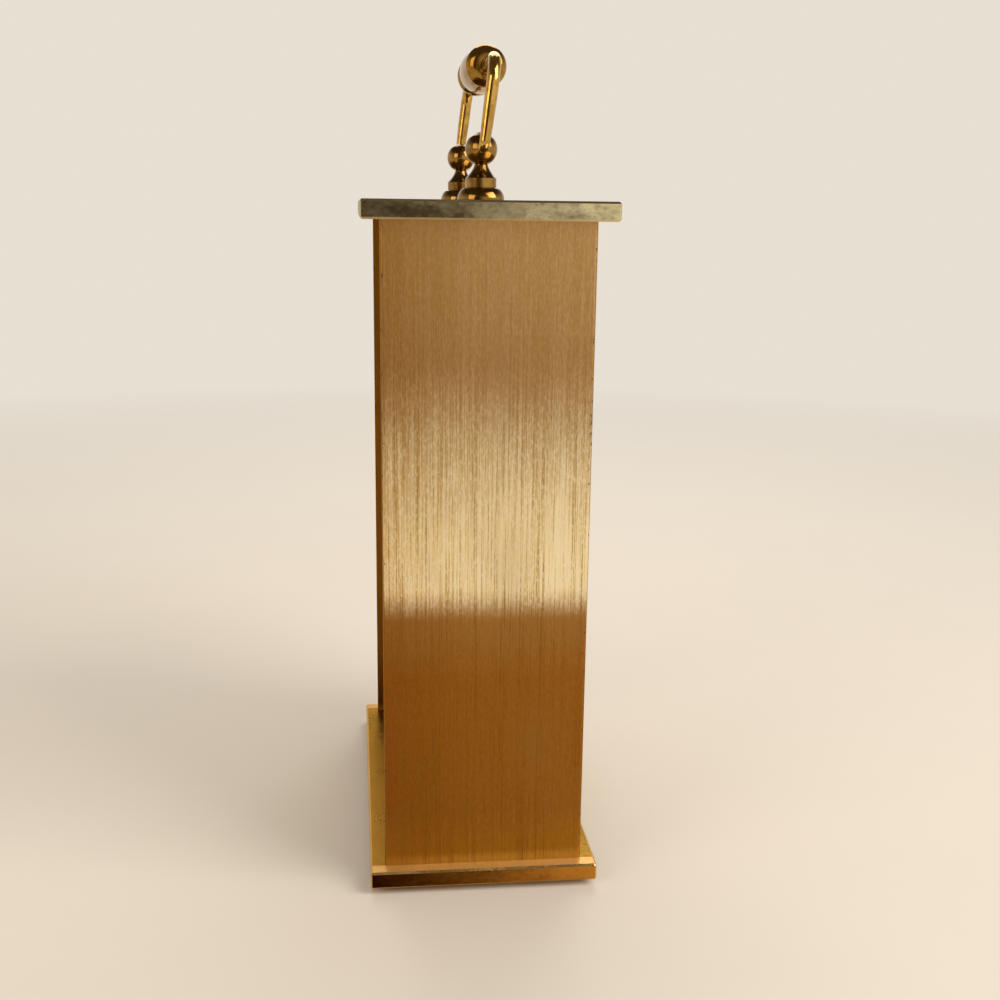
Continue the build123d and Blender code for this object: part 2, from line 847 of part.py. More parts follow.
def make_rear_spacers():
    """Four spacers between the rear plate and the back cover, each with a stud into its pillar."""
    spacers = []
    for place in movement_corners:
        spacer = rod(place, movement_pillar_radius, y_plate_rear, y_cover)
        spacer += rod(place, movement_stud_radius, y_gap_rear - movement_gap / 3 + end_play, y_plate_rear)
        spacer -= rod(place, movement_stud_radius + fixed_clearance, y_cover - rear_space / 2, y_cover)
        spacers.append(spacer)
    return spacers


# Going train
centre_phase = third_direction
centre_pinion_phase = 0.0
barrel_phase = mate_phase(centre_pinion_phase, centre_pinion_teeth, barrel_teeth, barrel_direction)
third_pinion_phase = mate_phase(centre_phase, centre_wheel_teeth, third_pinion_teeth, third_direction)
third_phase = fourth_direction
fourth_pinion_phase = mate_phase(third_phase, third_wheel_teeth, fourth_pinion_teeth, fourth_direction)
fourth_phase = escape_direction
escape_pinion_phase = mate_phase(fourth_phase, fourth_wheel_teeth, escape_pinion_teeth, escape_direction)
y_barrel = y_gap_front + barrel_gap
y_drum = y_barrel + barrel_flange_thickness
y_barrel_rear = y_barrel + barrel_height


def level(offset):
    """Y of a level counted from the front plate's inner face."""
    return y_gap_front + offset


def make_barrel(place, outline, drum_radius):
    """A spring barrel: a toothed flange, a drum and a lid, hollow inside."""
    barrel = slab(outline, place, y_barrel, y_drum) + rod(place, drum_radius, y_drum, y_barrel_rear)
    barrel -= rod(place, drum_radius - barrel_wall, y_barrel + barrel_floor, y_barrel_rear - barrel_floor)
    return barrel - rod(place, barrel_arbor_radius + running_clearance, y_barrel, y_barrel_rear)


def half_turns(inner, pitch, turns):
    """Half circles that join end to end, each wider than the last."""
    arcs = []
    for i in range(2 * turns):
        shift = (i % 2) * pitch / 2
        arcs.append(CenterArc((shift, 0), inner + i * pitch / 2, 180 * (i % 2), 180))
    return arcs


def spiral(place, inner, pitch, turns, strip, y_start, y_end):
    """A flat coiled spring made of half turns."""
    inside = half_turns(inner - strip / 2, pitch, turns)
    outside = half_turns(inner + strip / 2, pitch, turns)
    ends = [Line(inside[0] @ 0, outside[0] @ 0), Line(inside[-1] @ 1, outside[-1] @ 1)]
    return slab(make_face(inside + outside + ends), place, y_start, y_end)


def make_mainspring(place, drum_radius):
    """The coiled mainspring in its barrel."""
    inner = barrel_arbor_radius + 3 * spring_strip
    outer = drum_radius - barrel_wall - spring_end_gap - spring_strip / 2
    pitch = (outer - inner) / spring_turns
    start = y_barrel + barrel_floor + end_play
    end = y_barrel_rear - barrel_floor - end_play
    return spiral(place, inner, pitch, spring_turns, spring_strip, start, end)


def make_barrel_arbor(place):
    """The arbor of a barrel, with pivots in both plates and a square-ended tail for the key."""
    bar = rod(place, barrel_arbor_radius, y_gap_front + end_play, y_gap_rear - end_play)
    tail_end = y_cover_rear + key_gap + key_boss_length - end_play
    return bar + rod(place, barrel_pivot_radius, y_plate_front + end_play, tail_end)


def make_ratchet_wheel(place, radius):
    """The ratchet wheel behind the rear plate."""
    outline = saw_wheel(ratchet_teeth, radius, ratchet_tooth_depth, 0.0, ratchet_tooth_lean)
    outline -= Circle(barrel_pivot_radius + fixed_clearance)
    start = y_plate_rear + ratchet_gap
    return slab(outline, place, start, start + ratchet_thickness)


def make_click(place, wheel_place, wheel_radius, side):
    """The click: an eye on its stud and a beak whose point lies just clear of the ratchet's tips."""
    back = degrees(atan2(place[1] - wheel_place[1], place[0] - wheel_place[0]))
    point = step_from(wheel_place, back + side * click_lead, wheel_radius + click_clearance)
    reach = hypot(point[0] - place[0], point[1] - place[1])
    towards = degrees(atan2(point[1] - place[1], point[0] - place[0]))
    beak = Polygon((0, click_width / 2), (0, -click_width / 2), (reach, 0), (reach, click_tip))
    if side > 0:
        beak = mirror(beak, Plane.XZ)
    outline = Circle(click_eye_radius) + beak
    outline -= Circle(click_pivot_radius + running_clearance)
    start = y_plate_rear + ratchet_gap
    return slab(Rot(0, 0, towards) * outline, place, start, start + ratchet_thickness)


def make_winding_key(place):
    """A winding key: a boss on the arbor's tail and a flat wing with two ears and a hole in each."""
    start = y_cover_rear + key_gap
    end = start + key_length
    wing_start = start + key_boss_length
    boss = pipe(place, key_boss_radius, barrel_pivot_radius + fixed_clearance, start, wing_start)
    bar_end = end - key_bar_drop
    wing = Pos(0, (wing_start + bar_end) / 2) * Rectangle(2 * key_ear_offset, bar_end - wing_start)
    for side in (-1, 1):
        ear = Pos(side * key_ear_offset, end - key_ear_radius)
        wing += ear * Circle(key_ear_radius)
        wing -= ear * Circle(key_ear_hole)
    wing -= Pos(0, wing_start - key_length / 2) * Rectangle(4 * key_ear_offset, key_length)
    wing_plate = extrude(wing, amount=key_wing_thickness)
    return boss + Pos(place[0], 0, place[1] - key_wing_thickness / 2) * wing_plate


def make_knob(place, bore):
    """A ridged knob on the end of an arbor."""
    start = y_cover_rear + key_gap
    corners = []
    for i in range(2 * knob_ridges):
        radius = knob_radius - (i % 2) * knob_ridge_depth
        angle = i * pi / knob_ridges
        corners.append((radius * cos(angle), radius * sin(angle)))
    return slab(Polygon(*corners) - Circle(bore), place, start, start + knob_length)


def make_time_barrel():
    """The barrel that drives the hands' train."""
    return make_barrel(barrel_place, gear(barrel_teeth, barrel_module, barrel_phase), barrel_drum_radius)


def make_centre_wheel():
    """The centre wheel and its pinion on a pipe that turns on the centre arbor."""
    bore = centre_arbor_radius + running_clearance
    pipe_end = y_gap_rear - end_play
    wheel = pipe(centre, bore + centre_pipe_wall, bore, y_gap_front + end_play, pipe_end)
    pinion = gear(centre_pinion_teeth, barrel_module, centre_pinion_phase) - Circle(bore)
    pinion_start = level(centre_pinion_level)
    wheel += slab(pinion, centre, pinion_start, pinion_start + pinion_length)
    start = level(centre_wheel_level)
    outline = crossed_wheel(centre_wheel_teeth, centre_module, centre_phase) - Circle(bore)
    return wheel + slab(outline, centre, start, start + wheel_thickness)


def geared_arbor(place, wheel_outline, wheel_level, pinion_outline, pinion_level):
    """An arbor with its wheel and its pinion."""
    piece = arbor(place)
    piece += slab(wheel_outline, place, level(wheel_level), level(wheel_level) + wheel_thickness)
    return piece + slab(pinion_outline, place, level(pinion_level), level(pinion_level) + pinion_length)


def make_third_wheel():
    """The third wheel, turned by the centre wheel."""
    wheel = crossed_wheel(third_wheel_teeth, third_module, third_phase)
    pinion = gear(third_pinion_teeth, centre_module, third_pinion_phase)
    return geared_arbor(third_place, wheel, third_wheel_level, pinion, third_pinion_level)


def make_fourth_wheel():
    """The fourth wheel, turned by the third wheel once a minute."""
    wheel = crossed_wheel(fourth_wheel_teeth, fourth_module, fourth_phase)
    pinion = gear(fourth_pinion_teeth, third_module, fourth_pinion_phase)
    return geared_arbor(fourth_place, wheel, fourth_wheel_level, pinion, fourth_pinion_level)


def make_escape_wheel():
    """The escape wheel, turned by the fourth wheel."""
    wheel = saw_wheel(escape_teeth, escape_radius, escape_tooth_depth, 0.0, escape_tooth_lean)
    pinion = gear(escape_pinion_teeth, fourth_module, escape_pinion_phase)
    return geared_arbor(escape_place, wheel, escape_wheel_level, pinion, escape_pinion_level)


def pin_lever(place, wheel_place, pin_circle, pin_angle, y_start):
    """The arms of an anchor with two pins that straddle the tips of its wheel."""
    back = degrees(atan2(place[1] - wheel_place[1], place[0] - wheel_place[0]))
    anchor = rod(place, pallet_hub_radius, y_start, y_start + wheel_thickness)
    for side in (-1, 1):
        pin_place = step_from(wheel_place, back + side * pin_angle, pin_circle)
        outer = step_from(wheel_place, back + side * pin_angle, pin_circle + pallet_arm_reach)
        anchor += link(place, outer, pallet_arm_width, y_start, y_start + wheel_thickness)
        anchor += link(outer, pin_place, 2 * pallet_pin_radius, y_start, y_start + wheel_thickness)
    return anchor


def link(start, end, width, y_start, y_end):
    """A round-ended bar between two places."""
    length = hypot(end[0] - start[0], end[1] - start[1])
    angle = degrees(atan2(end[1] - start[1], end[0] - start[0]))
    outline = Pos(length / 2, 0) * Rectangle(length, width)
    outline += Circle(width / 2) + Pos(length, 0) * Circle(width / 2)
    return slab(Rot(0, 0, angle) * outline, start, y_start, y_end)


def make_pallet_lever():
    """The pin lever between the escape wheel and the balance."""
    start = level(escape_wheel_level)
    lever = arbor(pallet_place, pallet_arbor_radius)
    lever += pin_lever(pallet_place, escape_place, pallet_pin_circle, pallet_pin_angle, start)
    fork_end = step_from(pallet_place, -90.0, pallet_fork_length)
    lever += link(pallet_place, fork_end, pallet_arm_width, start, start + wheel_thickness)
    notch = Pos(0, -fork_notch_offset) * Rectangle(fork_notch_width, fork_notch_length)
    return lever - slab(notch, fork_end, start, start + wheel_thickness)


def make_balance_wheel():
    """The balance: a rim with two arms on its staff, and the roller with the impulse pin."""
    staff = arbor(balance_place, balance_staff_radius)
    rim = Circle(balance_radius) - Circle(balance_radius - balance_rim)
    rim += Rectangle(2 * balance_radius - balance_rim, balance_arm_width) + Circle(balance_hub_radius)
    balance = staff + slab(rim, balance_place, level(balance_level), level(balance_level) + balance_thickness)
    roller_end = level(roller_level) + roller_thickness
    balance += rod(balance_place, roller_radius, level(roller_level), roller_end)
    pin_place = (balance_place[0], balance_place[1] + impulse_pin_offset)
    return balance + rod(pin_place, impulse_pin_radius, level(escape_wheel_level), level(roller_level))


def make_hairspring():
    """The balance spring, with the stud that holds its outer end to the rear plate."""
    start = level(hairspring_level)
    end = start + hairspring_height
    inner = hairspring_inner
    coil = spiral(balance_place, inner, hairspring_pitch, hairspring_turns, hairspring_strip, start, end)
    stud_place = (balance_place[0] + inner + hairspring_turns * hairspring_pitch, balance_place[1])
    return coil + rod(stud_place, hairspring_stud_radius, start, y_gap_rear)


def make_regulator_lever():
    """The regulator: a ring on the rear plate's boss and a bent tab through the slot of the back cover."""
    start = y_plate_rear + regulator_gap
    end = start + regulator_thickness
    outline = Circle(regulator_ring_radius)
    outline += Pos(0, regulator_length / 2) * Rectangle(regulator_width, regulator_length)
    outline -= Circle(regulator_boss_radius + running_clearance)
    lever = slab(outline, balance_place, start, end)
    tab = Pos(0, regulator_length - regulator_tab / 2) * Rectangle(regulator_tab, regulator_tab)
    return lever + slab(tab, balance_place, start, end + regulator_tab_length)


# Motion work
hour_front = y_dial - hour_hand_space
minute_front = hour_front - minute_hand_space
cannon_phase = 0.0
minute_wheel_phase = mate_phase(cannon_phase, cannon_teeth, minute_wheel_teeth, minute_direction)
minute_pinion_phase = 0.0
hour_phase = mate_phase(minute_pinion_phase, minute_pinion_teeth, hour_wheel_teeth, minute_direction + 180)
idler_phase = mate_phase(hour_phase, hour_wheel_teeth, idler_teeth, -90.0)
alarm_wheel_phase = mate_phase(idler_phase, idler_teeth, alarm_wheel_teeth, -90.0)


def make_centre_arbor():
    """The arbor through the middle of the movement, from the minute hand to the hand-set knob."""
    shaft = rod(centre, centre_arbor_radius, minute_front - hand_seat, y_cover_rear + key_gap + knob_length)
    collar_start = y_plate_rear + end_play
    return shaft + rod(centre, arbor_collar_radius, collar_start, collar_start + arbor_collar_length)


def make_cannon_pinion():
    """The cannon pinion, whose pipe carries the minute hand."""
    bore = centre_arbor_radius + fixed_clearance
    cannon = pipe(centre, cannon_pipe_radius, bore, minute_front, y_plate_front - end_play)
    outline = gear(cannon_teeth, motion_module, cannon_phase) - Circle(bore)
    return cannon + slab(outline, centre, motion_upper, motion_upper + motion_wheel_thickness)


def make_minute_wheel():
    """The minute wheel, with the pinion that turns the hour wheel."""
    bore = motion_stud_radius + running_clearance
    outline = gear(minute_wheel_teeth, motion_module, minute_wheel_phase) - Circle(bore)
    wheel = slab(outline, minute_place, motion_upper, motion_upper + motion_wheel_thickness)
    pinion = gear(minute_pinion_teeth, hour_module, minute_pinion_phase) - Circle(bore)
    return wheel + slab(pinion, minute_place, motion_lower, motion_upper)


def make_hour_wheel():
    """The hour wheel on its pipe, which turns on the cannon pinion."""
    bore = cannon_pipe_radius + running_clearance
    outline = gear(hour_wheel_teeth, hour_module, hour_phase) - Circle(bore)
    wheel = slab(outline, centre, motion_lower, motion_lower + motion_wheel_thickness)
    return wheel + pipe(centre, hour_pipe_radius, bore, hour_front, motion_lower)


def make_alarm_idler():
    """The wheel that carries the hour wheel's motion down to the alarm wheel."""
    windows = Circle(idler_window_radius) - Circle(idler_hub_radius)
    windows -= Rectangle(2 * idler_window_radius, idler_arm_width)
    windows -= Rectangle(idler_arm_width, 2 * idler_window_radius)
    outline = gear(idler_teeth, hour_module, idler_phase) - windows
    outline -= Circle(motion_stud_radius + running_clearance)
    return slab(outline, idler_place, motion_lower, motion_lower + motion_wheel_thickness)


def make_alarm_wheel():
    """The alarm wheel, which turns freely on the alarm arbor and has a notch that lets the alarm off."""
    bore = centre_arbor_radius + running_clearance
    outline = gear(alarm_wheel_teeth, hour_module, alarm_wheel_phase) - Circle(bore)
    outline -= Pos(0, alarm_notch_radius) * Rectangle(alarm_notch_width, alarm_notch_length)
    return slab(outline, alarm_place, motion_lower, motion_lower + motion_wheel_thickness)


def hand(place, eye, bore, length, width, tail, angle, y_start):
    """A lance-shaped hand on its eye."""
    widest = hand_widest_share * length
    root = hand_root_width / 2
    blade = Polygon((root, 0), (width / 2, widest), (0, length), (-width / 2, widest), (-root, 0))
    outline = blade + Circle(eye)
    if tail:
        outline += Pos(0, -tail / 2) * Rectangle(hand_root_width, tail)
    outline = Rot(0, 0, -angle) * outline - Circle(bore)
    return slab(outline, place, y_start, y_start + hand_thickness)


def make_hour_hand():
    """The hour hand."""
    bore = hour_pipe_radius - hour_hand_seat
    eye = hour_pipe_radius + hour_hand_eye_rim
    start = hour_front - hand_thickness
    return hand(centre, eye, bore, hour_hand_length, hour_hand_width, 0, hour_hand_angle, start)


def make_minute_hand():
    """The minute hand."""
    eye = cannon_pipe_radius + minute_hand_eye_rim
    bore = centre_arbor_radius + fixed_clearance
    start = minute_front - hand_thickness
    angle = minute_hand_angle
    return hand(centre, eye, bore, minute_hand_length, minute_hand_width, minute_hand_tail, angle, start)


def make_alarm_arbor():
    """The alarm-setting arbor, from the alarm hand to its knob, with a collar beside each plate."""
    shaft_end = y_cover_rear + key_gap + knob_length
    shaft = rod(alarm_place, centre_arbor_radius, hour_front - hand_seat, shaft_end)
    front_collar = y_gap_front + end_play
    rear_collar = y_gap_rear - end_play
    shaft += rod(alarm_place, arbor_collar_radius, front_collar, front_collar + arbor_collar_length)
    return shaft + rod(alarm_place, arbor_collar_radius, rear_collar - arbor_collar_length, rear_collar)


def make_alarm_hand():
    """The alarm hand of the small dial."""
    bore = centre_arbor_radius + fixed_clearance
    eye = centre_arbor_radius + alarm_hand_eye_rim
    return hand(alarm_place, eye, bore, alarm_hand_length, alarm_hand_width, 0, alarm_hand_angle, hour_front)


# Alarm train
alarm_barrel_phase = alarm_pinion_direction
alarm_pinion_phase = mate_phase(
    alarm_barrel_phase,
    alarm_barrel_teeth,
    alarm_pinion_teeth,
    alarm_pinion_direction,
)
hammer_head_distance = bell_radius + hammer_gap + hammer_head_radius
hammer_head_place = step_from(bell_place, bell_strike_direction, hammer_head_distance)


def make_alarm_barrel():
    """The barrel that drives the alarm."""
    outline = gear(alarm_barrel_teeth, alarm_module, alarm_barrel_phase)
    return make_barrel(alarm_barrel_place, outline, alarm_drum_radius)


def make_alarm_escape_wheel():
    """The alarm's escape wheel, turned by its barrel."""
    wheel = saw_wheel(escape_teeth, alarm_escape_radius, escape_tooth_depth, 0.0, alarm_escape_tooth_lean)
    pinion = gear(alarm_pinion_teeth, alarm_module, alarm_pinion_phase)
    return geared_arbor(alarm_escape_place, wheel, alarm_escape_level, pinion, alarm_pinion_level)


def make_alarm_hammer():
    """The hammer: its anchor, its arm and its head beside the bell."""
    hammer = arbor(hammer_place)
    pins_start = level(alarm_escape_level)
    hammer += pin_lever(hammer_place, alarm_escape_place, hammer_pin_circle, hammer_pin_angle, pins_start)
    start = level(hammer_level)
    hammer += link(hammer_place, hammer_head_place, hammer_arm_width, start, start + hammer_arm_thickness)
    head_start = start + hammer_arm_thickness / 2 - hammer_head_length / 2
    return hammer + rod(hammer_head_place, hammer_head_radius, head_start, head_start + hammer_head_length)


def make_bell():
    """The cup-shaped bell, open to the rear."""
    start = level(bell_level)
    end = start + bell_depth
    cup = rod(bell_place, bell_radius, start, end)
    cup = fillet(cup.faces().sort_by(Axis.Y)[0].edges(), bell_shoulder_radius)
    hollow = rod(bell_place, bell_radius - bell_wall, start + bell_wall, end)
    hollow = fillet(hollow.faces().sort_by(Axis.Y)[0].edges(), bell_shoulder_radius - bell_wall)
    return cup - hollow - rod(bell_place, bell_post_radius / 2 + fixed_clearance, start, start + bell_wall)


def make_bell_post():
    """The post that carries the bell on the front plate, with its nut."""
    start = level(bell_level)
    post = rod(bell_place, bell_post_radius, y_gap_front, start)
    post += rod(bell_place, bell_post_radius / 2, start, start + bell_wall)
    post += rod(bell_place, movement_stud_radius, y_plate_front, y_gap_front)
    nut_start = start + bell_wall
    return post + rod(bell_place, bell_post_radius, nut_start, nut_start + bell_nut_height)


def make_alarm_stop_button():
    """The alarm stop: a knob on a shaft that slides in and blocks the hammer's arm."""
    shaft_end = y_cover_rear + stop_knob_gap
    shaft = rod(stop_place, stop_radius, level(stop_level), shaft_end)
    return shaft + rod(stop_place, stop_knob_radius, shaft_end, shaft_end + stop_knob_length)


def make_parts():
    """Every piece under its node's name."""
    return {
        "base_plate": make_base_plate(),
        "top_plate": make_top_plate(),
        "feet": make_feet(),
        "side_panel_left": make_side_panel(-1),
        "side_panel_right": make_side_panel(1),
        "case_pillars": make_case_pillars(),
        "case_screws": make_case_screws(),
        "front_mask": make_front_mask(),
        "glass": make_glass(),
        "spacer_frame": make_spacer_frame(),
        "dial_plate": make_dial_plate(),
        "back_cover": make_back_cover(),
        "back_cover_screws": make_back_cover_screws(),
        "handle_posts": make_handle_posts(),
        "handle_post_nuts": make_post_nuts(),
        "handle_bail": make_handle_bail(),
        "handle_grip": make_handle_grip(),
        "movement_front_plate": make_movement_front_plate(),
        "movement_rear_plate": make_movement_rear_plate(),
        "movement_pillars": make_movement_pillars(),
        "movement_screws": make_movement_screws(),
        "rear_spacers": make_rear_spacers(),
        "time_barrel": make_time_barrel(),
        "time_mainspring": make_mainspring(barrel_place, barrel_drum_radius),
        "time_barrel_arbor": make_barrel_arbor(barrel_place),
        "time_ratchet_wheel": make_ratchet_wheel(barrel_place, time_ratchet_radius),
        "time_click": make_click(time_click_place, barrel_place, time_ratchet_radius, -1),
        "time_winding_key": make_winding_key(barrel_place),
        "centre_wheel": make_centre_wheel(),
        "third_wheel": make_third_wheel(),
        "fourth_wheel": make_fourth_wheel(),
        "escape_wheel": make_escape_wheel(),
        "pallet_lever": make_pallet_lever(),
        "balance_wheel": make_balance_wheel(),
        "hairspring": make_hairspring(),
        "regulator_lever": make_regulator_lever(),
        "centre_arbor": make_centre_arbor(),
        "cannon_pinion": make_cannon_pinion(),
        "minute_hand": make_minute_hand(),
        "hand_set_knob": make_knob(centre, centre_arbor_radius + fixed_clearance),
        "minute_wheel": make_minute_wheel(),
        "hour_wheel": make_hour_wheel(),
        "hour_hand": make_hour_hand(),
        "alarm_idler": make_alarm_idler(),
        "alarm_wheel": make_alarm_wheel(),
        "alarm_arbor": make_alarm_arbor(),
        "alarm_hand": make_alarm_hand(),
        "alarm_set_knob": make_knob(alarm_place, centre_arbor_radius + fixed_clearance),
        "alarm_barrel": make_alarm_barrel(),
        "alarm_mainspring": make_mainspring(alarm_barrel_place, alarm_drum_radius),
        "alarm_barrel_arbor": make_barrel_arbor(alarm_barrel_place),
        "alarm_ratchet_wheel": make_ratchet_wheel(alarm_barrel_place, alarm_ratchet_radius),
        "alarm_click": make_click(alarm_click_place, alarm_barrel_place, alarm_ratchet_radius, 1),
        "alarm_winding_key": make_winding_key(alarm_barrel_place),
        "alarm_escape_wheel": make_alarm_escape_wheel(),
        "alarm_hammer": make_alarm_hammer(),
        "bell": make_bell(),
        "bell_post": make_bell_post(),
        "alarm_stop_button": make_alarm_stop_button(),
    }


def main():
    """Write one file for each node."""
    os.makedirs("parts", exist_ok=True)
    for name, shape in make_parts().items():
        piece = Compound(children=list(shape)) if isinstance(shape, list) else shape
        export_step(piece, f"parts/{name}.step")


main()
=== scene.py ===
from math import atan2, cos, pi, radians, sin

import bmesh
import bpy
from bpy.props import FloatProperty, FloatVectorProperty, PointerProperty
from bpy.types import Operator, Panel, PropertyGroup
from mathutils import Matrix, Vector


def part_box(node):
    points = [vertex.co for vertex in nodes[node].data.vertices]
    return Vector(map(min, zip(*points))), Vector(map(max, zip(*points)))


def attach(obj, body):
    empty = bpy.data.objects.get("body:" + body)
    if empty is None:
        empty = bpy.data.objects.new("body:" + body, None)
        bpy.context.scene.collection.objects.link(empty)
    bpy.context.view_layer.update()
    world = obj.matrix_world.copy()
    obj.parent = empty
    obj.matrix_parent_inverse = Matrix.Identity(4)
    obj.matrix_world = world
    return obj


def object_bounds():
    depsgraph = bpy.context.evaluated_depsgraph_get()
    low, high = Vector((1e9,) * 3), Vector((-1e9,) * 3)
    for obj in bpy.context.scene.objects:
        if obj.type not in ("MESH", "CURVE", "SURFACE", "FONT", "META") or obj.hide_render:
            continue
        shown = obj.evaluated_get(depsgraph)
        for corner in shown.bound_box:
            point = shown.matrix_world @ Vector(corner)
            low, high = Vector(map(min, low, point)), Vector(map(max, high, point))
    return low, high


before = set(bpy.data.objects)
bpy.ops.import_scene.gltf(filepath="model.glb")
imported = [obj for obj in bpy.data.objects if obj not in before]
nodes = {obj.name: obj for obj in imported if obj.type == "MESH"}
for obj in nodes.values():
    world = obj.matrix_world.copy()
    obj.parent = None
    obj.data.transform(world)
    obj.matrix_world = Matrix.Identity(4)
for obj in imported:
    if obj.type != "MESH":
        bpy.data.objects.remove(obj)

bl_info = {
    "name": "Carriage alarm clock",
    "version": (1, 0, 0),
    "blender": (4, 5, 0),
    "location": "View3D > Sidebar > Clock",
    "description": "Finishes, dial markings and studio for a brass carriage alarm clock",
    "category": "Object",
}

cad_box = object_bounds()


def node_middle(name):
    """Middle of a CAD node's box."""
    low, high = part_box(name)
    return (low + high) / 2


dial_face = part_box("dial_plate")[0].y
panel_low, panel_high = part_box("side_panel_right")
hub = node_middle("hour_wheel")
alarm_hub = node_middle("alarm_wheel")
balance_hub = node_middle("balance_wheel")
bell_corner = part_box("bell")[0]


def tone(name, description, default):
    """A colour that a user can change."""
    return FloatVectorProperty(
        name=name, description=description, default=default, subtype="COLOR", size=3, min=0.0, max=1.0
    )


def length(name, description, default):
    """A size in metres that a user can change."""
    return FloatProperty(name=name, description=description, default=default, unit="LENGTH", precision=5)


def share(name, description, default):
    """A number from nothing to all that a user can change."""
    return FloatProperty(
        name=name, description=description, default=default, min=0.0, max=1.0, subtype="FACTOR"
    )


def position(name, description, default):
    """A place in metres that a user can change."""
    return FloatVectorProperty(
        name=name, description=description, default=default, subtype="XYZ", unit="LENGTH"
    )


def angle(name, description, degrees):
    """An angle that a user can change."""
    return FloatProperty(name=name, description=description, default=radians(degrees), subtype="ANGLE")


def power(name, description, default):
    """A lamp's power that a user can change."""
    return FloatProperty(name=name, description=description, default=default, unit="POWER")


# Sizes and colours
class PanelLook(PropertyGroup):
    """The brushed side panels."""

    # Painted reflection: the tones from seam to top stand in for the room mirrored in the brass: lighter at
    # the seam and foot, darker in the lower third, a bright band above the middle.
    seam_tone: tone("Seam tone", "Rubbed brass where the panels meet the base plate", (0.484, 0.226, 0.020))
    foot_tone: tone("Foot tone", "Brass at the foot of the panels", (0.396, 0.160, 0.008))
    lower_tone: tone("Lower tone", "Brass of the lower third", (0.322, 0.120, 0.0105))
    band_tone: tone("Band tone", "Brightest brass, above the middle", (1.0, 0.77, 0.37))
    shoulder_tone: tone("Shoulder tone", "Brass of the upper third", (0.433, 0.234, 0.077))
    top_tone: tone("Top tone", "Brass below the top plate", (0.527, 0.300, 0.105))
    # Painted shade: the panels darken towards the dial side.
    front_tint: tone("Front tint", "Tint of the brass towards the dial side", (0.83, 0.72, 0.52))
    # Painted shade: a darker plain tone on the panels' narrow edges and inner faces.
    edge_tone: tone("Edge tone", "Brass of the panels' narrow edges and inner faces", (0.27, 0.110, 0.009))
    groove_tone: tone("Groove tone", "Darker brass in the brushed grooves", (0.235, 0.097, 0.015))
    # Painted highlight: the pale glints of the brushing.
    glint_tone: tone("Glint tone", "Pale glints of the brushing", (1.0, 0.88, 0.64))
    cloud_tone: tone("Cloud tone", "Faint clouds of tarnish", (0.30, 0.16, 0.05))
    pit_tone: tone("Pit tone", "Dark pits along the upright edges", (0.055, 0.03, 0.012))
    grazing_tint: tone("Grazing tint", "Tint of the brass seen at a low angle", (1.0, 0.86, 0.62))
    band_foot: share("Band foot", "Share of the height where the bright band starts", 0.43)
    streak_width: length("Streak width", "Width of one brushed streak", 0.00020)
    streak_length: length("Streak length", "Length of one brushed streak", 0.021)
    broad_streak_width: length("Broad streak width", "Width of the broad streaks", 0.0009)
    broad_streak_length: length("Broad streak length", "Length of the broad streaks", 0.08)
    streak_depth: length("Streak depth", "Relief of the brushing", 0.000014)
    pitted_width: length("Pitted width", "Width of the pitted strip along each upright edge", 0.0012)
    roughness: share("Roughness", "Roughness of the brushed faces", 0.33)


class PlateLook(PropertyGroup):
    """The base plate with its feet, and the top plate."""

    top_bright_tone: tone("Top bright tone", "Brass of the top plate where it is clean", (0.84, 0.74, 0.46))
    top_dull_tone: tone("Top dull tone", "Tarnished brass of the top plate", (0.21, 0.16, 0.085))
    top_face_tone: tone("Top face tone", "Warm brass on the upper face of the top plate", (0.66, 0.47, 0.20))
    top_bevel_tone: tone("Top bevel tone", "Rubbed brass on the top plate's bevels", (0.62, 0.50, 0.27))
    base_bright_tone: tone(
        "Base bright tone", "Brass of the base plate where it is clean", (0.66, 0.38, 0.075)
    )
    base_dull_tone: tone("Base dull tone", "Tarnished brass of the base plate", (0.30, 0.13, 0.015))
    base_bevel_tone: tone("Base bevel tone", "Rubbed brass on the base plate's bevels", (0.80, 0.52, 0.20))
    ledge_tone: tone("Ledge tone", "Tarnished brass of the base plate's ledge", (0.35, 0.190, 0.036))
    side_ledge_tone: tone("Side ledge tone", "Rubbed brass of the ledge below the panels", (0.80, 0.46, 0.14))
    # Painted shade and light: the plates' side edges darken towards the dial side and lighten towards the
    # back.
    top_front_tint: tone(
        "Top front tint", "Tint of the top plate's side edges at the dial side", (0.27, 0.255, 0.23)
    )
    top_rear_tint: tone("Top rear tint", "Tint of the top plate's side edges at the back", (0.89, 0.88, 0.86))
    base_front_tint: tone(
        "Base front tint", "Tint of the base plate's side edges at the dial side", (0.05, 0.02, 0.01)
    )
    base_rear_tint: tone(
        "Base rear tint", "Tint of the base plate's side edges at the back", (0.82, 0.60, 0.42)
    )
    grazing_tint: tone("Grazing tint", "Tint of the base plate seen at a low angle", (0.90, 0.74, 0.50))
    mottle_size: length("Mottle size", "Size of the tarnish patches", 0.006)
    mottle_depth: length("Mottle depth", "Relief of the tarnish patches", 0.00003)
    roughness: share("Roughness", "Roughness of the plates", 0.24)
    rubber_tone: tone("Rubber tone", "Rubber of the feet", (0.022, 0.02, 0.018))
    rubber_dust_tone: tone("Rubber dust tone", "Dust on the rubber feet", (0.10, 0.09, 0.08))


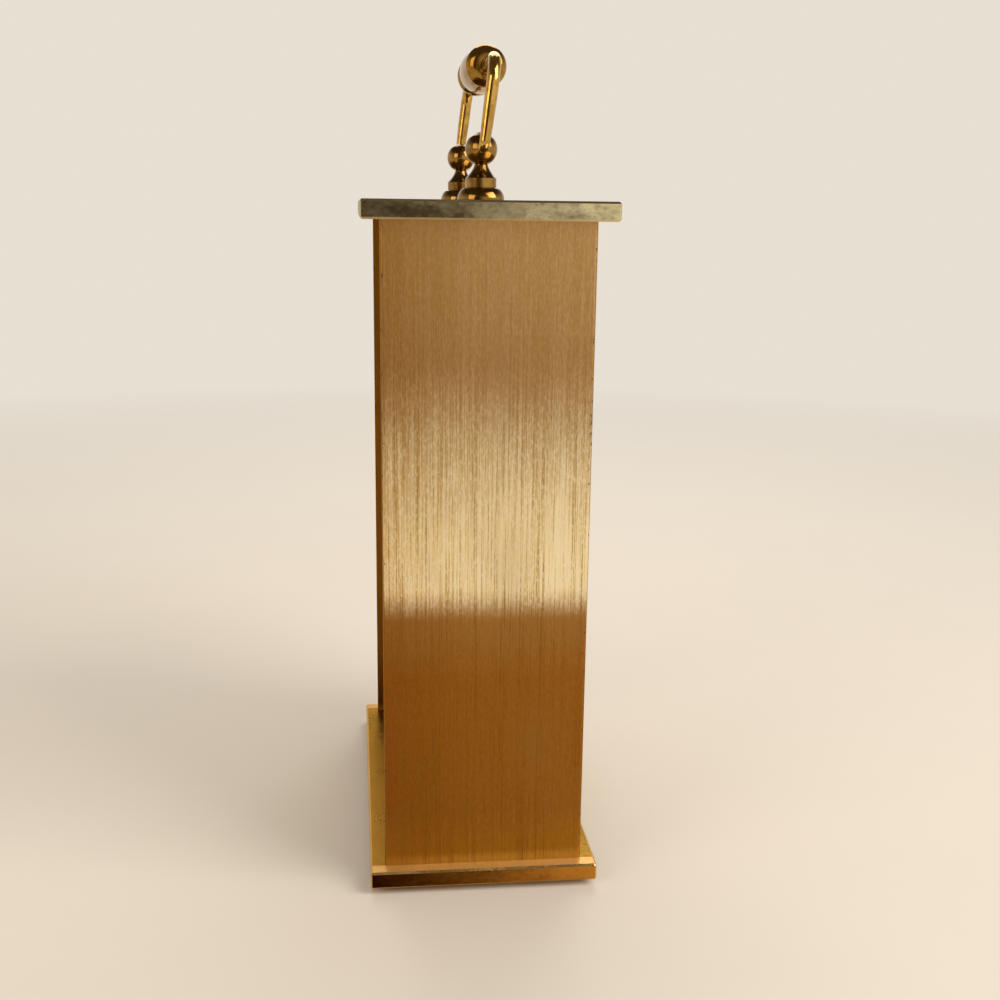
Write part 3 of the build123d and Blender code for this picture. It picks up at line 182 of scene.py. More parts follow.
class FittingLook(PropertyGroup):
    """The handle, the keys and the knobs."""

    brass_tone: tone("Brass tone", "Polished brass of the keys and knobs", (0.68, 0.435, 0.13))
    bail_tone: tone("Bail tone", "Polished brass of the bail", (0.62, 0.385, 0.10))
    # Painted shade: the grip and the posts are darker copies of the polished brass, the posts darker still on
    # upward faces.
    grip_tone: tone("Grip tone", "Polished brass of the grip", (0.40, 0.220, 0.044))
    post_tone: tone("Post tone", "Darkened brass of the two posts", (0.36, 0.208, 0.055))
    post_crown: share("Post crown", "Share of their colour that the posts keep on upward faces", 0.5)
    warmth: tone("Warmth", "Share of each colour that a warm tarnish leaves", (0.60, 0.50, 0.35))
    recess_tone: tone("Recess tone", "Old polish left in the recesses", (0.06, 0.028, 0.008))
    recess_reach: length("Recess reach", "How far out of a recess the old polish goes", 0.0012)
    patch_size: length("Patch size", "Size of the warm patches", 0.0022)
    scratch_size: length("Scratch size", "Size of the fine scratches", 0.0004)
    roughness: share("Roughness", "Roughness of the polished brass", 0.12)


class WorksLook(PropertyGroup):
    """The front, the back cover and the movement."""

    mask_tone: tone("Mask tone", "Satin brass of the front mask", (0.80, 0.58, 0.27))
    spacer_tone: tone("Spacer tone", "Satin brass of the frame behind the glass", (0.74, 0.55, 0.27))
    cover_tone: tone("Cover tone", "Satin brass of the back cover", (0.78, 0.58, 0.28))
    plate_tone: tone("Plate tone", "Satin brass of the movement's plates and pillars", (0.82, 0.62, 0.30))
    wheel_tone: tone("Wheel tone", "Brass of the wheels and barrels", (0.84, 0.64, 0.30))
    arbor_tone: tone("Arbor tone", "Steel of the arbors, clicks and levers", (0.56, 0.56, 0.57))
    screw_tone: tone("Screw tone", "Steel of the screws and the regulator", (0.43, 0.42, 0.40))
    nut_tone: tone("Nut tone", "Steel of the nuts below the posts", (0.55, 0.54, 0.52))
    spring_tone: tone("Spring tone", "Blued steel of the springs", (0.09, 0.11, 0.20))
    bell_tone: tone("Bell tone", "Steel of the bell", (0.66, 0.66, 0.66))
    glass_tone: tone("Glass tone", "Clean glass", (0.82, 0.88, 0.86))
    glass_dust_tone: tone("Glass dust tone", "Dust on the glass", (0.95, 0.93, 0.88))
    glass_body: share("Glass body", "Share of the view that the glass covers", 0.06)
    brush_width: length("Brush width", "Width of the upright brushing on the mask and the cover", 0.00025)
    brush_length: length("Brush length", "Length of the upright brushing on the mask and the cover", 0.02)


class DialLook(PropertyGroup):
    """The dial and its markings."""

    enamel_tone: tone("Enamel tone", "Ground of the dial", (0.83, 0.79, 0.68))
    yellowing: tone("Yellowing", "Share of each colour that age leaves in the enamel", (0.96, 0.90, 0.78))
    spot_tone: tone("Spot tone", "Age spots on the enamel", (0.42, 0.30, 0.17))
    ink_tone: tone("Ink tone", "Numerals, tracks and hands", (0.012, 0.011, 0.012))
    worn_ink_tone: tone("Worn ink tone", "Rubbed places on the print and the hands", (0.034, 0.033, 0.034))
    numeral_radius: length("Numeral radius", "Middle of the hour numerals", 0.0203)
    numeral_height: length("Numeral height", "Height of the hour numerals", 0.0046)
    track_inner: length("Track inside", "Inner ring of the minute track", 0.0241)
    track_outer: length("Track outside", "Outer ring of the minute track", 0.0262)
    track_line: length("Track line", "Width of the minute track's lines", 0.00014)
    hour_mark: length("Hour mark", "Width of the minute track's marks at the hours", 0.0006)
    alarm_numeral_radius: length("Alarm numeral radius", "Middle of the alarm numerals", 0.0088)
    alarm_numeral_height: length("Alarm numeral height", "Height of the alarm numerals", 0.0021)
    alarm_track_radius: length("Alarm track radius", "Outside of the alarm dial's ring", 0.0107)
    alarm_ring_line: length("Alarm ring line", "Width of the alarm dial's ring", 0.00012)
    alarm_mark_line: length("Alarm mark line", "Width of the alarm dial's marks", 0.0001)
    alarm_hour_mark: length("Alarm hour mark", "Length of the alarm dial's marks at the hours", 0.0009)
    alarm_quarter_mark: length("Alarm quarter mark", "Length of the marks between the hours", 0.0005)
    ink_height: length("Ink height", "Height of the print above the dial", 0.00003)


class StageLook(PropertyGroup):
    """The studio: floor, background, lamps and camera."""

    floor_tone: tone("Floor tone", "Floor round the clock", (0.72, 0.66, 0.58))
    floor_reach: length("Floor reach", "Distance from the middle of the floor to its edges", 3.0)
    fade_start: length("Fade start", "Where the floor starts to fade into the background", 0.20)
    fade_end: length("Fade end", "Where the floor has become the background", 0.65)
    background_tone: tone("Background tone", "Background behind the clock", (0.80, 0.74, 0.65))
    zenith_tone: tone("Zenith tone", "Ceiling that the brass mirrors", (0.11, 0.085, 0.06))
    room_tone: tone("Room tone", "Dim side of the room that the brass mirrors", (0.08, 0.055, 0.032))
    window_tone: tone("Window tone", "Bright side of the room that the brass mirrors", (1.0, 0.92, 0.78))
    even_tone: tone("Even tone", "Colour of the even light", (1.0, 0.95, 0.88))
    ambient: FloatProperty(name="Ambient", description="Strength of the even light", default=0.55, min=0.0)
    lamp_tone: tone("Lamp tone", "Daylight of the large lamp and the rear lamp", (1.0, 0.96, 0.90))
    lamp_power: power("Lamp power", "Power of the large lamp", 2.7)
    lamp_place: position("Lamp place", "Place of the large lamp", (0.30, 0.42, 0.46))
    lamp_size: length("Lamp size", "Width of the large lamp", 0.42)
    rear_power: power("Rear power", "Power of the rear lamp", 1.62)
    rear_place: position("Rear place", "Place of the rear lamp", (-0.42, 0.05, 0.50))
    rear_size: length("Rear size", "Width of the rear lamp", 0.45)
    fill_tone: tone("Fill tone", "Warm light of the small lamp", (1.0, 0.84, 0.62))
    fill_power: power("Fill power", "Power of the small lamp", 0.7)
    fill_place: position("Fill place", "Place of the small lamp", (0.34, -0.42, 0.30))
    fill_size: length("Fill size", "Width of the small lamp", 0.30)
    camera_place: position("Camera place", "Place of the camera", (0.25412, -0.02203, 0.12162))
    camera_heading: angle("Camera heading", "Turn of the view away from the panel's normal", 6.426)
    camera_tilt: angle("Camera tilt", "Downward tilt of the camera", 13.824)
    camera_roll: angle("Camera roll", "Roll of the camera", 0.744)
    camera_lens: FloatProperty(
        name="Camera lens",
        description="Focal length of the camera",
        default=46.609,
        subtype="DISTANCE_CAMERA",
    )
    camera_shift: FloatProperty(name="Camera shift", description="Upward shift of the lens", default=0.025)


# Shader nodes
class Nodes:
    """Shader nodes being joined up, in a material or in the world."""

    def __init__(self, tree):
        self.tree = tree

    def add(self, kind, **settings):
        """A new node with its settings."""
        node = self.tree.nodes.new(kind)
        for name, value in settings.items():
            setattr(node, name, value)
        return node

    def feed(self, target, source):
        """Gives an input a link, a number or a colour."""
        if isinstance(source, bpy.types.NodeSocket):
            self.tree.links.new(source, target)
        elif isinstance(source, (int, float)):
            target.default_value = source
        else:
            target.default_value = (*source, 1.0)

    def part(self, vector, axis):
        """The X, Y or Z part of a vector."""
        split = self.add("ShaderNodeSeparateXYZ")
        self.feed(split.inputs["Vector"], vector)
        return split.outputs[axis]

    def distance(self, vector):
        """The length of a vector."""
        node = self.add("ShaderNodeVectorMath", operation="LENGTH")
        self.feed(node.inputs[0], vector)
        return node.outputs["Value"]

    def span(self, source, low, high, new_low, new_high):
        """Stretches a range of values to another one."""
        node = self.add("ShaderNodeMapRange")
        for socket, value in zip(node.inputs, (source, low, high, new_low, new_high)):
            self.feed(socket, value)
        return node.outputs["Result"]

    def fade(self, source, start, end, most=1.0):
        """Nothing up to the start, then rising to the most at the end."""
        return self.span(source, start, end, 0.0, most)

    def math(self, operation, first, second=0.0):
        """Arithmetic on two values."""
        node = self.add("ShaderNodeMath", operation=operation)
        self.feed(node.inputs[0], first)
        self.feed(node.inputs[1], second)
        return node.outputs["Value"]

    def ramp(self, factor, stops):
        """Colours by factor."""
        node = self.add("ShaderNodeValToRGB")
        marks = node.color_ramp.elements
        while len(marks) < len(stops):
            marks.new(0.5)
        for mark, (place, colour) in zip(marks, stops):
            mark.position = place
            mark.color = (*colour, 1.0)
        self.feed(node.inputs["Fac"], factor)
        return node.outputs["Color"]

    def levels(self, factor, start, marks):
        """Levels by factor, each mark being a distance from the start and the level there."""
        return self.ramp(factor, [(start + distance, (level,) * 3) for distance, level in marks])

    def mix(self, factor, first, second, kind="MIX"):
        """Blends two colours."""
        # The colour sockets come after those for numbers and vectors
        node = self.add("ShaderNodeMix", data_type="RGBA", blend_type=kind)
        self.feed(node.inputs[0], factor)
        self.feed(node.inputs[6], first)
        self.feed(node.inputs[7], second)
        return node.outputs[2]

    def ray(self, kind):
        """One for rays of one kind, and nothing for the others."""
        return self.add("ShaderNodeLightPath").outputs[kind]

    def seen(self):
        """One for rays that show this place, straight, mirrored or through glass, nothing for its light."""
        direct = self.math("MAXIMUM", self.ray("Is Camera Ray"), self.ray("Is Glossy Ray"))
        return self.math("MAXIMUM", direct, self.ray("Is Transmission Ray"))

    def show(self, factor, first, second, output):
        """Blends two shaders into an output node."""
        node = self.add("ShaderNodeMixShader")
        for socket, source in zip(node.inputs, (factor, first, second)):
            self.feed(socket, source)
        self.feed(self.tree.nodes[output].inputs["Surface"], node.outputs["Shader"])


class Finish(Nodes):
    """A material being made: its shader and patterns on the object's own coordinates."""

    def __init__(self, name, roughness, metallic=0.0):
        self.material = bpy.data.materials.new(name)
        self.material.use_nodes = True
        super().__init__(self.material.node_tree)
        self.shader = self.tree.nodes["Principled BSDF"]
        self.roughness = roughness
        self.set("Metallic", metallic)
        self.set("Roughness", roughness)
        self.place = self.add("ShaderNodeTexCoord").outputs["Object"]

    def set(self, socket, source):
        """Gives the shader a value, a colour or a pattern."""
        self.feed(self.shader.inputs[socket], source)

    def mapped(self, offset, scale):
        """The object's coordinates, scaled and then moved."""
        mapping = self.add("ShaderNodeMapping")
        mapping.inputs["Location"].default_value = offset
        mapping.inputs["Scale"].default_value = scale
        self.feed(mapping.inputs["Vector"], self.place)
        return mapping.outputs["Vector"]

    def noise(self, cell, detail=4.0, roughness=0.6, offset=(0.0, 0.0, 0.0)):
        """Noise whose cells have one size, or one size each along X, Y and Z."""
        sizes = (cell,) * 3 if isinstance(cell, float) else cell
        pattern = self.add("ShaderNodeTexNoise")
        pattern.inputs["Scale"].default_value = 1.0
        pattern.inputs["Detail"].default_value = detail
        pattern.inputs["Roughness"].default_value = roughness
        self.feed(pattern.inputs["Vector"], self.mapped(offset, tuple(1.0 / size for size in sizes)))
        return pattern.outputs["Fac"]

    def along(self, axis, low, high):
        """Share of the way from one place to another along X, Y or Z."""
        return self.fade(self.part(self.place, axis), low, high)

    def from_middle(self):
        """Distance from the clock's middle plane, to the left or to the right."""
        return self.math("ABSOLUTE", self.part(self.place, "X"))

    def radius(self, centre):
        """Distance from an axis along Y through the centre."""
        return self.distance(self.mapped((-centre[0], 0.0, -centre[2]), (1.0, 0.0, 1.0)))

    def outward(self, axis):
        """The X, Y or Z part of the surface's outward direction."""
        return self.part(self.add("ShaderNodeNewGeometry").outputs["True Normal"], axis)

    def facing(self, axis, low=0.5, high=0.9):
        """One on faces that look along an axis, either way, and nothing on the others."""
        return self.fade(self.math("ABSOLUTE", self.outward(axis)), low, high)

    def sheen(self, pattern, smoother, rougher, low=0.3, high=0.7):
        """Roughness that follows a pattern, from a little smoother to a little rougher."""
        roughness = self.span(pattern, low, high, self.roughness - smoother, self.roughness + rougher)
        self.set("Roughness", roughness)

    def relief(self, height, depth):
        """Fine relief of the given depth."""
        bump = self.add("ShaderNodeBump")
        bump.inputs["Strength"].default_value = 1.0
        bump.inputs["Distance"].default_value = depth
        self.feed(bump.inputs["Height"], height)
        self.set("Normal", bump.outputs["Normal"])


def between(first, second, part):
    """The colour that lies part of the way from one colour to another."""
    return tuple(start + (end - start) * part for start, end in zip(first, second))


def scaled(colour, part):
    """A colour with only a part of its strength left."""
    return tuple(value * part for value in colour)


def tinted(colour, tint):
    """A colour with only the tint's part of each of its values left."""
    return tuple(value * part for value, part in zip(colour, tint))


def dress(names, material):
    """Gives CAD nodes their finish."""
    for name in names:
        mesh = nodes[name].data
        if not mesh.materials:
            mesh.materials.append(material)
        for slot in nodes[name].material_slots:
            slot.material = material


# Finishes
def panel_ground(finish, look, height, side):
    """Painted reflection: a panel's tones from its foot to its top, with painted shade towards the dial side.
    """
    white = (1.0, 1.0, 1.0)
    foot = look.band_foot
    into_band = ((-0.12, 0.0), (-0.025, 0.08), (-0.008, 0.2), (0.006, 0.5), (0.024, 1.0), (0.10, 1.0))
    out_of_band = ((0.165, 0.30), (0.225, 0.58), (0.29, 0.86), (0.36, 1.0))
    stops = [(0.0, look.seam_tone), (0.012, look.seam_tone), (0.020, look.foot_tone), (0.09, look.lower_tone)]
    stops += [(foot + rise, between(look.lower_tone, look.band_tone, part)) for rise, part in into_band]
    stops += [(foot + rise, between(look.band_tone, look.shoulder_tone, part)) for rise, part in out_of_band]
    stops.append((0.97, look.top_tone))
    # Painted shade: darker towards the dial side.
    tint = finish.ramp(side, [(0.0, look.front_tint), (0.45, white)])
    return finish.mix(1.0, finish.ramp(height, stops), tint, "MULTIPLY")


def panel_streaks(finish, look):
    """Upright brushing: fine streaks, with a smaller share of broad ones."""
    fine_share = 0.75
    fine_cell = (look.streak_width, look.streak_width, look.streak_length)
    broad_cell = (look.broad_streak_width, look.broad_streak_width, look.broad_streak_length)
    fine = finish.noise(fine_cell, detail=3.0, roughness=0.7)
    broad = finish.noise(broad_cell, detail=3.0, roughness=0.55, offset=(7.0, 3.0, 1.0))
    fine_part = finish.math("MULTIPLY", fine, fine_share)
    return finish.math("ADD", fine_part, finish.math("MULTIPLY", broad, 1.0 - fine_share))


def panel_brushing(finish, look, ground, streaks, height, side):
    """Dark grooves and painted glint highlights, each mark a height above the band's foot and a strength
    there.
    """
    groove_marks = ((-0.03, 0.78), (0.03, 0.74), (0.16, 0.64), (0.25, 0.42), (0.33, 0.15), (0.37, 0.10))
    highlight_marks = ((-0.02, 0.012), (0.03, 1.0), (0.25, 0.42), (0.33, 0.12), (0.38, 0.06))
    grooves = finish.math("POWER", finish.fade(streaks, 0.51, 0.38), 1.55)
    grooves = finish.math("MULTIPLY", grooves, finish.levels(height, look.band_foot, groove_marks))
    grooved = finish.mix(grooves, ground, look.groove_tone)
    # Painted highlight: glints strongest in the bright band and towards the back.
    band = finish.levels(height, look.band_foot, highlight_marks)
    band = finish.math("MULTIPLY", band, finish.span(side, 0.0, 1.0, 0.7, 1.1))
    glints = finish.math("MULTIPLY", finish.fade(streaks, 0.46, 0.58), band)
    lined_and_highlit = finish.mix(glints, grooved, look.glint_tone)
    sparkle = finish.noise((0.00030, 0.00030, 0.0009), detail=2.0, offset=(3.0, 8.0, 5.0))
    grain = finish.levels(sparkle, 0.0, ((0.36, 0.91), (0.58, 1.0)))
    outside_band = finish.math("SUBTRACT", 1.0, band)
    grained = finish.mix(outside_band, lined_and_highlit, finish.mix(1.0, lined_and_highlit, grain, "MULTIPLY"))
    # Painted highlight: flashes in the bright band.
    painted_flashes = finish.math("MULTIPLY", finish.fade(sparkle, 0.50, 0.62, most=0.7), band)
    return finish.mix(painted_flashes, grained, look.glint_tone)


def panel_wear(finish, look, brushed):
    """Faint clouds, painted shade on the narrow edges and inner faces, and pits along the upright edges."""
    clouds = finish.noise((0.016, 0.016, 0.024), detail=3.0, roughness=0.55, offset=(2.0, 9.0, 4.0))
    aged = finish.mix(finish.fade(clouds, 0.5, 0.75, most=0.22), brushed, look.cloud_tone)
    # Painted shade: the narrow edges and inner faces take a darker plain tone.
    outer_skin = panel_high.x - 0.0002
    inner_skin = panel_high.x - 0.0006
    inward = finish.span(finish.from_middle(), inner_skin, outer_skin, 1.0, 0.0)
    shaded_faces = finish.math("MAXIMUM", finish.facing("Y"), inward)
    edge_shaded = finish.mix(shaded_faces, aged, look.edge_tone)
    specks = finish.noise((0.0006, 0.0006, 0.0009), detail=2.0, roughness=0.5, offset=(4.0, 1.0, 8.0))
    front_strip = finish.along("Y", panel_low.y + look.pitted_width, panel_low.y)
    rear_strip = finish.along("Y", panel_high.y - look.pitted_width, panel_high.y)
    least_speck = finish.span(finish.math("MAXIMUM", front_strip, rear_strip), 0.0, 1.0, 0.80, 0.62)
    pits = finish.math("GREATER_THAN", specks, least_speck)
    return finish.mix(finish.math("MULTIPLY", pits, 0.75), edge_shaded, look.pit_tone)


def brushed_panel_brass(look):
    """Old brass brushed upright, with a painted reflection that makes it deeper in tone towards its foot, and
    less metallic there.
    """
    finish = Finish("brushed_panel_brass", look.roughness, metallic=1.0)
    finish.set("Specular Tint", look.grazing_tint)
    height = finish.along("Z", panel_low.z, panel_high.z)
    side = finish.along("Y", panel_low.y, panel_high.y)
    streaks = panel_streaks(finish, look)
    ground = panel_ground(finish, look, height, side)
    brushed = panel_brushing(finish, look, ground, streaks, height, side)
    finish.set("Base Color", panel_wear(finish, look, brushed))
    finish.set("Metallic", finish.span(height, 0.006, 0.016, 0.3, 1.0))
    finish.sheen(streaks, smoother=0.07, rougher=0.10)
    finish.relief(streaks, look.streak_depth)
    return finish.material


def base_ledge(finish, look, edges, upward, tarnish, dull):
    """The base plate's upper face, rubbed bright and less metallic below the panels."""
    blend_width = 0.0003
    below_panel = finish.fade(finish.from_middle(), panel_high.x - blend_width, panel_high.x)
    rubbed = finish.mix(below_panel, look.ledge_tone, look.side_ledge_tone)
    tarnished = finish.mix(finish.math("MULTIPLY", tarnish, 0.35), rubbed, dull)
    finish.set("Metallic", finish.span(finish.math("MULTIPLY", upward, below_panel), 0.0, 1.0, 1.0, 0.45))
    return finish.mix(upward, edges, tarnished)


def top_face(finish, look, edges, upward, tarnish, dull):
    """The top plate's upper face, warmer than its edges."""
    tarnished = finish.mix(finish.math("MULTIPLY", tarnish, 0.7), look.top_face_tone, dull)
    return finish.mix(finish.math("MULTIPLY", upward, 0.7), edges, tarnished)


def rubbed_bevels(finish):
    """A share that grows where the surface looks along none of the axes."""
    sharpness = 6.0
    leans = [finish.math("ABSOLUTE", finish.outward(axis)) for axis in "XYZ"]
    flats = [finish.math("POWER", lean, sharpness) for lean in leans]
    flatness = finish.math("ADD", finish.math("ADD", flats[0], flats[1]), flats[2])
    return finish.fade(flatness, 0.75, 0.45, most=0.8)


def plate_brass(name, look, tones, shading_tints, upper_face):
    """Mottled, tarnished brass with rubbed bevels; painted shade makes it duller and its side edges darker
    towards the dial side.
    """
    bright, dull, rubbed = tones
    front_tint, rear_light_tint = shading_tints
    finish = Finish(name, look.roughness, metallic=1.0)
    size = look.mottle_size
    patches = finish.noise((size * 1.6, size * 2.2, size), detail=5.0, roughness=0.62)
    fine = finish.noise((size / 6, size / 5, size / 7), offset=(3.0, 5.0, 2.0))
    rear = finish.along("Y", cad_box[0].y, cad_box[1].y)
    mottle_and_shade = finish.math("ADD", patches, finish.math("MULTIPLY", fine, 0.35))
    # Painted shade: more tarnish towards the dial side, less towards the back; the tarnish share below
    # carries it.
    mottle_and_shade = finish.math("ADD", mottle_and_shade, finish.span(rear, 0.0, 1.0, 0.10, -0.12))
    tarnish = finish.fade(mottle_and_shade, 0.50, 0.86)
    ground = finish.mix(tarnish, bright, dull)
    flecked = finish.mix(finish.fade(fine, 0.5, 0.7, most=0.30), ground, scaled(dull, 0.8))
    # Painted shade and light: side edges darker towards the dial side, lighter towards the back.
    shading_stops = [(0.0, front_tint), (0.42, between(front_tint, rear_light_tint, 0.35)), (0.85, rear_light_tint)]
    shaded_sides = finish.mix(1.0, flecked, finish.ramp(rear, shading_stops), "MULTIPLY")
    sides = finish.mix(finish.facing("X"), flecked, shaded_sides)
    edges = finish.mix(finish.facing("Y"), sides, finish.mix(0.55, sides, dull))
    faces = upper_face(finish, look, edges, finish.facing("Z", 0.8, 0.97), tarnish, dull)
    finish.set("Base Color", finish.mix(rubbed_bevels(finish), faces, rubbed))
    finish.sheen(tarnish, smoother=0.08, rougher=0.14, low=0.0, high=1.0)
    finish.relief(finish.math("ADD", patches, fine), look.mottle_depth)
    return finish


def foot_rubber(look):
    """Black rubber with dust and a moulded grain."""
    finish = Finish("foot_rubber", roughness=0.7)
    grain = finish.noise(0.0005)
    dust = finish.noise(0.004, offset=(1.0, 4.0, 2.0))
    dusty = finish.mix(finish.fade(dust, 0.45, 0.75, most=0.6), look.rubber_tone, look.rubber_dust_tone)
    finish.set("Base Color", dusty)
    finish.sheen(grain, smoother=0.10, rougher=0.15)
    finish.relief(grain, depth=0.00003)
    return finish.material


def polished_brass(name, look, clean, top_shade=1.0):
    """Polished brass with old polish in its recesses, its upward faces darkened to the given share of colour
    as painted shade.
    """
    finish = Finish(name, look.roughness, metallic=1.0)
    patches = finish.noise(look.patch_size)
    scratches = finish.noise(look.scratch_size, detail=3.0, offset=(1.0, 2.0, 3.0))
    occlusion = finish.add("ShaderNodeAmbientOcclusion", samples=8)
    occlusion.inputs["Distance"].default_value = look.recess_reach
    recess = finish.fade(occlusion.outputs["AO"], 0.75, 0.35, most=0.85)
    warm = finish.mix(finish.fade(patches, 0.40, 0.66, most=0.9), clean, tinted(clean, look.warmth))
    upward = finish.fade(finish.outward("Z"), 0.1, 0.7)
    # Painted shade: upward faces keep only the given share of colour.
    top_shaded = finish.mix(upward, warm, finish.mix(1.0, warm, (top_shade, top_shade, top_shade), "MULTIPLY"))
    finish.set("Base Color", finish.mix(recess, top_shaded, look.recess_tone))
    finish.sheen(patches, smoother=0.04, rougher=0.09, low=0.35)
    finish.relief(scratches, depth=0.000003)
    return finish.material


def satin_brass(name, colour, cell, roughness):
    """Satin brass with a grain of the given cell size."""
    finish = Finish(name, roughness, metallic=1.0)
    grain = finish.noise(cell)
    patches = finish.noise(0.012, roughness=0.55, offset=(5.0, 1.0, 2.0))
    ground = finish.mix(finish.fade(patches, 0.40, 0.70, most=0.7), colour, scaled(colour, 0.62))
    grained = finish.mix(finish.fade(grain, 0.35, 0.65, most=0.35), ground, scaled(colour, 0.55))
    finish.set("Base Color", grained)
    finish.sheen(grain, smoother=0.06, rougher=0.10)
    finish.relief(grain, depth=0.000006)
    return finish.material


def turned_metal(name, colour, centre, pitch, roughness):
    """Metal turned on a lathe, with rings of the given pitch about an axis along Y."""
    finish = Finish(name, roughness, metallic=1.0)
    rings = finish.math("SINE", finish.math("MULTIPLY", finish.radius(centre), 2 * pi / pitch))
    patches = finish.noise(0.004)
    darker = scaled(colour, 0.6)
    ground = finish.mix(finish.fade(patches, 0.4, 0.7, most=0.6), colour, darker)
    finish.set("Base Color", finish.mix(finish.fade(rings, -1.0, 1.0, most=0.16), ground, darker))
    finish.sheen(patches, smoother=0.05, rougher=0.12, low=0.35)
    finish.relief(rings, depth=0.000004)
    return finish.material


def enamel(look):
    """Off-white dial ground with faint clouds and a few age spots."""
    finish = Finish("dial_enamel", roughness=0.42)
    clouds = finish.noise(0.014, detail=5.0)
    spots = finish.noise(0.0009, detail=2.0, roughness=0.5, offset=(6.0, 2.0, 1.0))
    yellowed = tinted(look.enamel_tone, look.yellowing)
    ground = finish.mix(finish.fade(clouds, 0.38, 0.7, most=0.8), look.enamel_tone, yellowed)
    finish.set("Base Color", finish.mix(finish.fade(spots, 0.74, 0.82, most=0.5), ground, look.spot_tone))
    finish.relief(clouds, depth=0.00002)
    return finish.material


def ink(look):
    """Black print and black hands, slightly uneven."""
    finish = Finish("dial_ink", roughness=0.38)
    grain = finish.noise(0.0007)
    finish.set("Base Color", finish.mix(finish.fade(grain, 0.45, 0.7), look.ink_tone, look.worn_ink_tone))
    finish.sheen(grain, smoother=0.10, rougher=0.10)
    finish.relief(grain, depth=0.000004)
    return finish.material


def window_glass(look):
    """Clear glass with a trace of dust."""
    finish = Finish("window_glass", roughness=0.03)
    finish.set("IOR", 1.5)
    finish.set("Specular IOR Level", 1.0)
    finish.set("Alpha", look.glass_body)
    dust = finish.noise(0.0035, detail=6.0, roughness=0.7)
    finish.set("Base Color", finish.mix(finish.fade(dust, 0.45, 0.8), look.glass_tone, look.glass_dust_tone))
    finish.sheen(dust, smoother=0.01, rougher=0.13, low=0.4, high=0.8)
    return finish.material


# Dial markings
# Each letter's width is a share of the numeral's height
ROMAN = ("XII", "I", "II", "III", "IIII", "V", "VI", "VII", "VIII", "IX", "X", "XI")
GLYPH_WIDTH = {"I": 0.30, "V": 0.66, "X": 0.66}
HOURS = 12
MINUTES = 60


def print_piece(name, shape, material):
    """Puts finished print into the scene as a piece that rides on the case."""
    bmesh.ops.recalc_face_normals(shape, faces=shape.faces)
    mesh = bpy.data.meshes.new(name)
    shape.to_mesh(mesh)
    shape.free()
    mesh.materials.append(material)
    piece = bpy.data.objects.new(name, mesh)
    bpy.context.scene.collection.objects.link(piece)
    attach(piece, "case")


def on_dial(centre, turn, distance):
    """Matrix that takes a drawing on XZ to its place on a dial, its foot towards the dial's middle."""
    spot = Matrix.Translation((centre[0], 0.0, centre[2]))
    return spot @ Matrix.Rotation(turn, 4, "Y") @ Matrix.Translation((0.0, 0.0, distance))


def bar(shape, start, end, width, place, depth):
    """A thin printed bar between two points of a drawing on XZ, raised above the dial."""
    run = Vector((end[0] - start[0], 0.0, end[1] - start[1]))
    middle = Vector(((start[0] + end[0]) / 2, dial_face - depth / 2, (start[1] + end[1]) / 2))
    turn = Matrix.Rotation(atan2(run.x, run.z), 4, "Y")
    size = Matrix.Diagonal((width, depth, run.length, 1.0))
    bmesh.ops.create_cube(shape, size=1.0, matrix=place @ Matrix.Translation(middle) @ turn @ size)


def ring(shape, centre, inner, outer, depth, steps):
    """A flat printed ring about a dial's middle."""
    printed = dial_face - depth
    section = ((inner, printed), (outer, printed), (outer, dial_face), (inner, dial_face))
    corners = [shape.verts.new((centre[0] + radius, y, centre[2])) for radius, y in section]
    edges = [shape.edges.new(pair) for pair in zip(corners, corners[1:] + corners[:1])]
    bmesh.ops.spin(
        shape,
        geom=corners + edges,
        cent=(centre[0], 0.0, centre[2]),
        axis=(0.0, 1.0, 0.0),
        angle=2 * pi,
        steps=steps,
        use_merge=True,
        use_duplicate=False,
    )


def roman_numeral(shape, numeral, height, place, depth):
    """Strokes and serifs of one numeral, centred on its place."""
    total = sum(GLYPH_WIDTH[glyph] for glyph in numeral) * height
    left = -total / 2
    half = height / 2
    thick = 0.135 * height
    thin = 0.055 * height
    serif = thin / 2
    serif_inset = 0.03 * height
    for glyph in numeral:
        width = GLYPH_WIDTH[glyph] * height
        middle = left + width / 2
        right = left + width
        if glyph == "I":
            bar(shape, (middle, -half), (middle, half), thick, place, depth)
        elif glyph == "V":
            bar(shape, (left + thick, half), (middle, -half), thick, place, depth)
            bar(shape, (right - thick, half), (middle, -half), thin, place, depth)
        else:
            bar(shape, (left + thick, half), (right - thick, -half), thick, place, depth)
            bar(shape, (right - thick, half), (left + thick, -half), thin, place, depth)
        left = right
    reach = total / 2 - serif_inset
    for level in (half - serif, serif - half):
        bar(shape, (-reach, level), (reach, level), thin, place, depth)


def hour_numerals(look):
    """The twelve roman numerals of the hours."""
    shape = bmesh.new()
    for hour, numeral in enumerate(ROMAN):
        place = on_dial(hub, hour * 2 * pi / HOURS, look.numeral_radius)
        roman_numeral(shape, numeral, look.numeral_height, place, look.ink_height)
    return shape


def minute_track(look):
    """Two rings with a mark between them for every minute, broader at the hours."""
    ring_steps = 180
    line, depth = look.track_line, look.ink_height
    shape = bmesh.new()
    ring(shape, hub, look.track_inner, look.track_inner + line, depth, ring_steps)
    ring(shape, hub, look.track_outer - line, look.track_outer, depth, ring_steps)
    reach = look.track_outer - look.track_inner
    for minute in range(MINUTES):
        place = on_dial(hub, minute * 2 * pi / MINUTES, look.track_inner)
        width = look.hour_mark if minute % (MINUTES // HOURS) == 0 else line
        bar(shape, (0.0, 0.0), (0.0, reach), width, place, depth)
    return shape


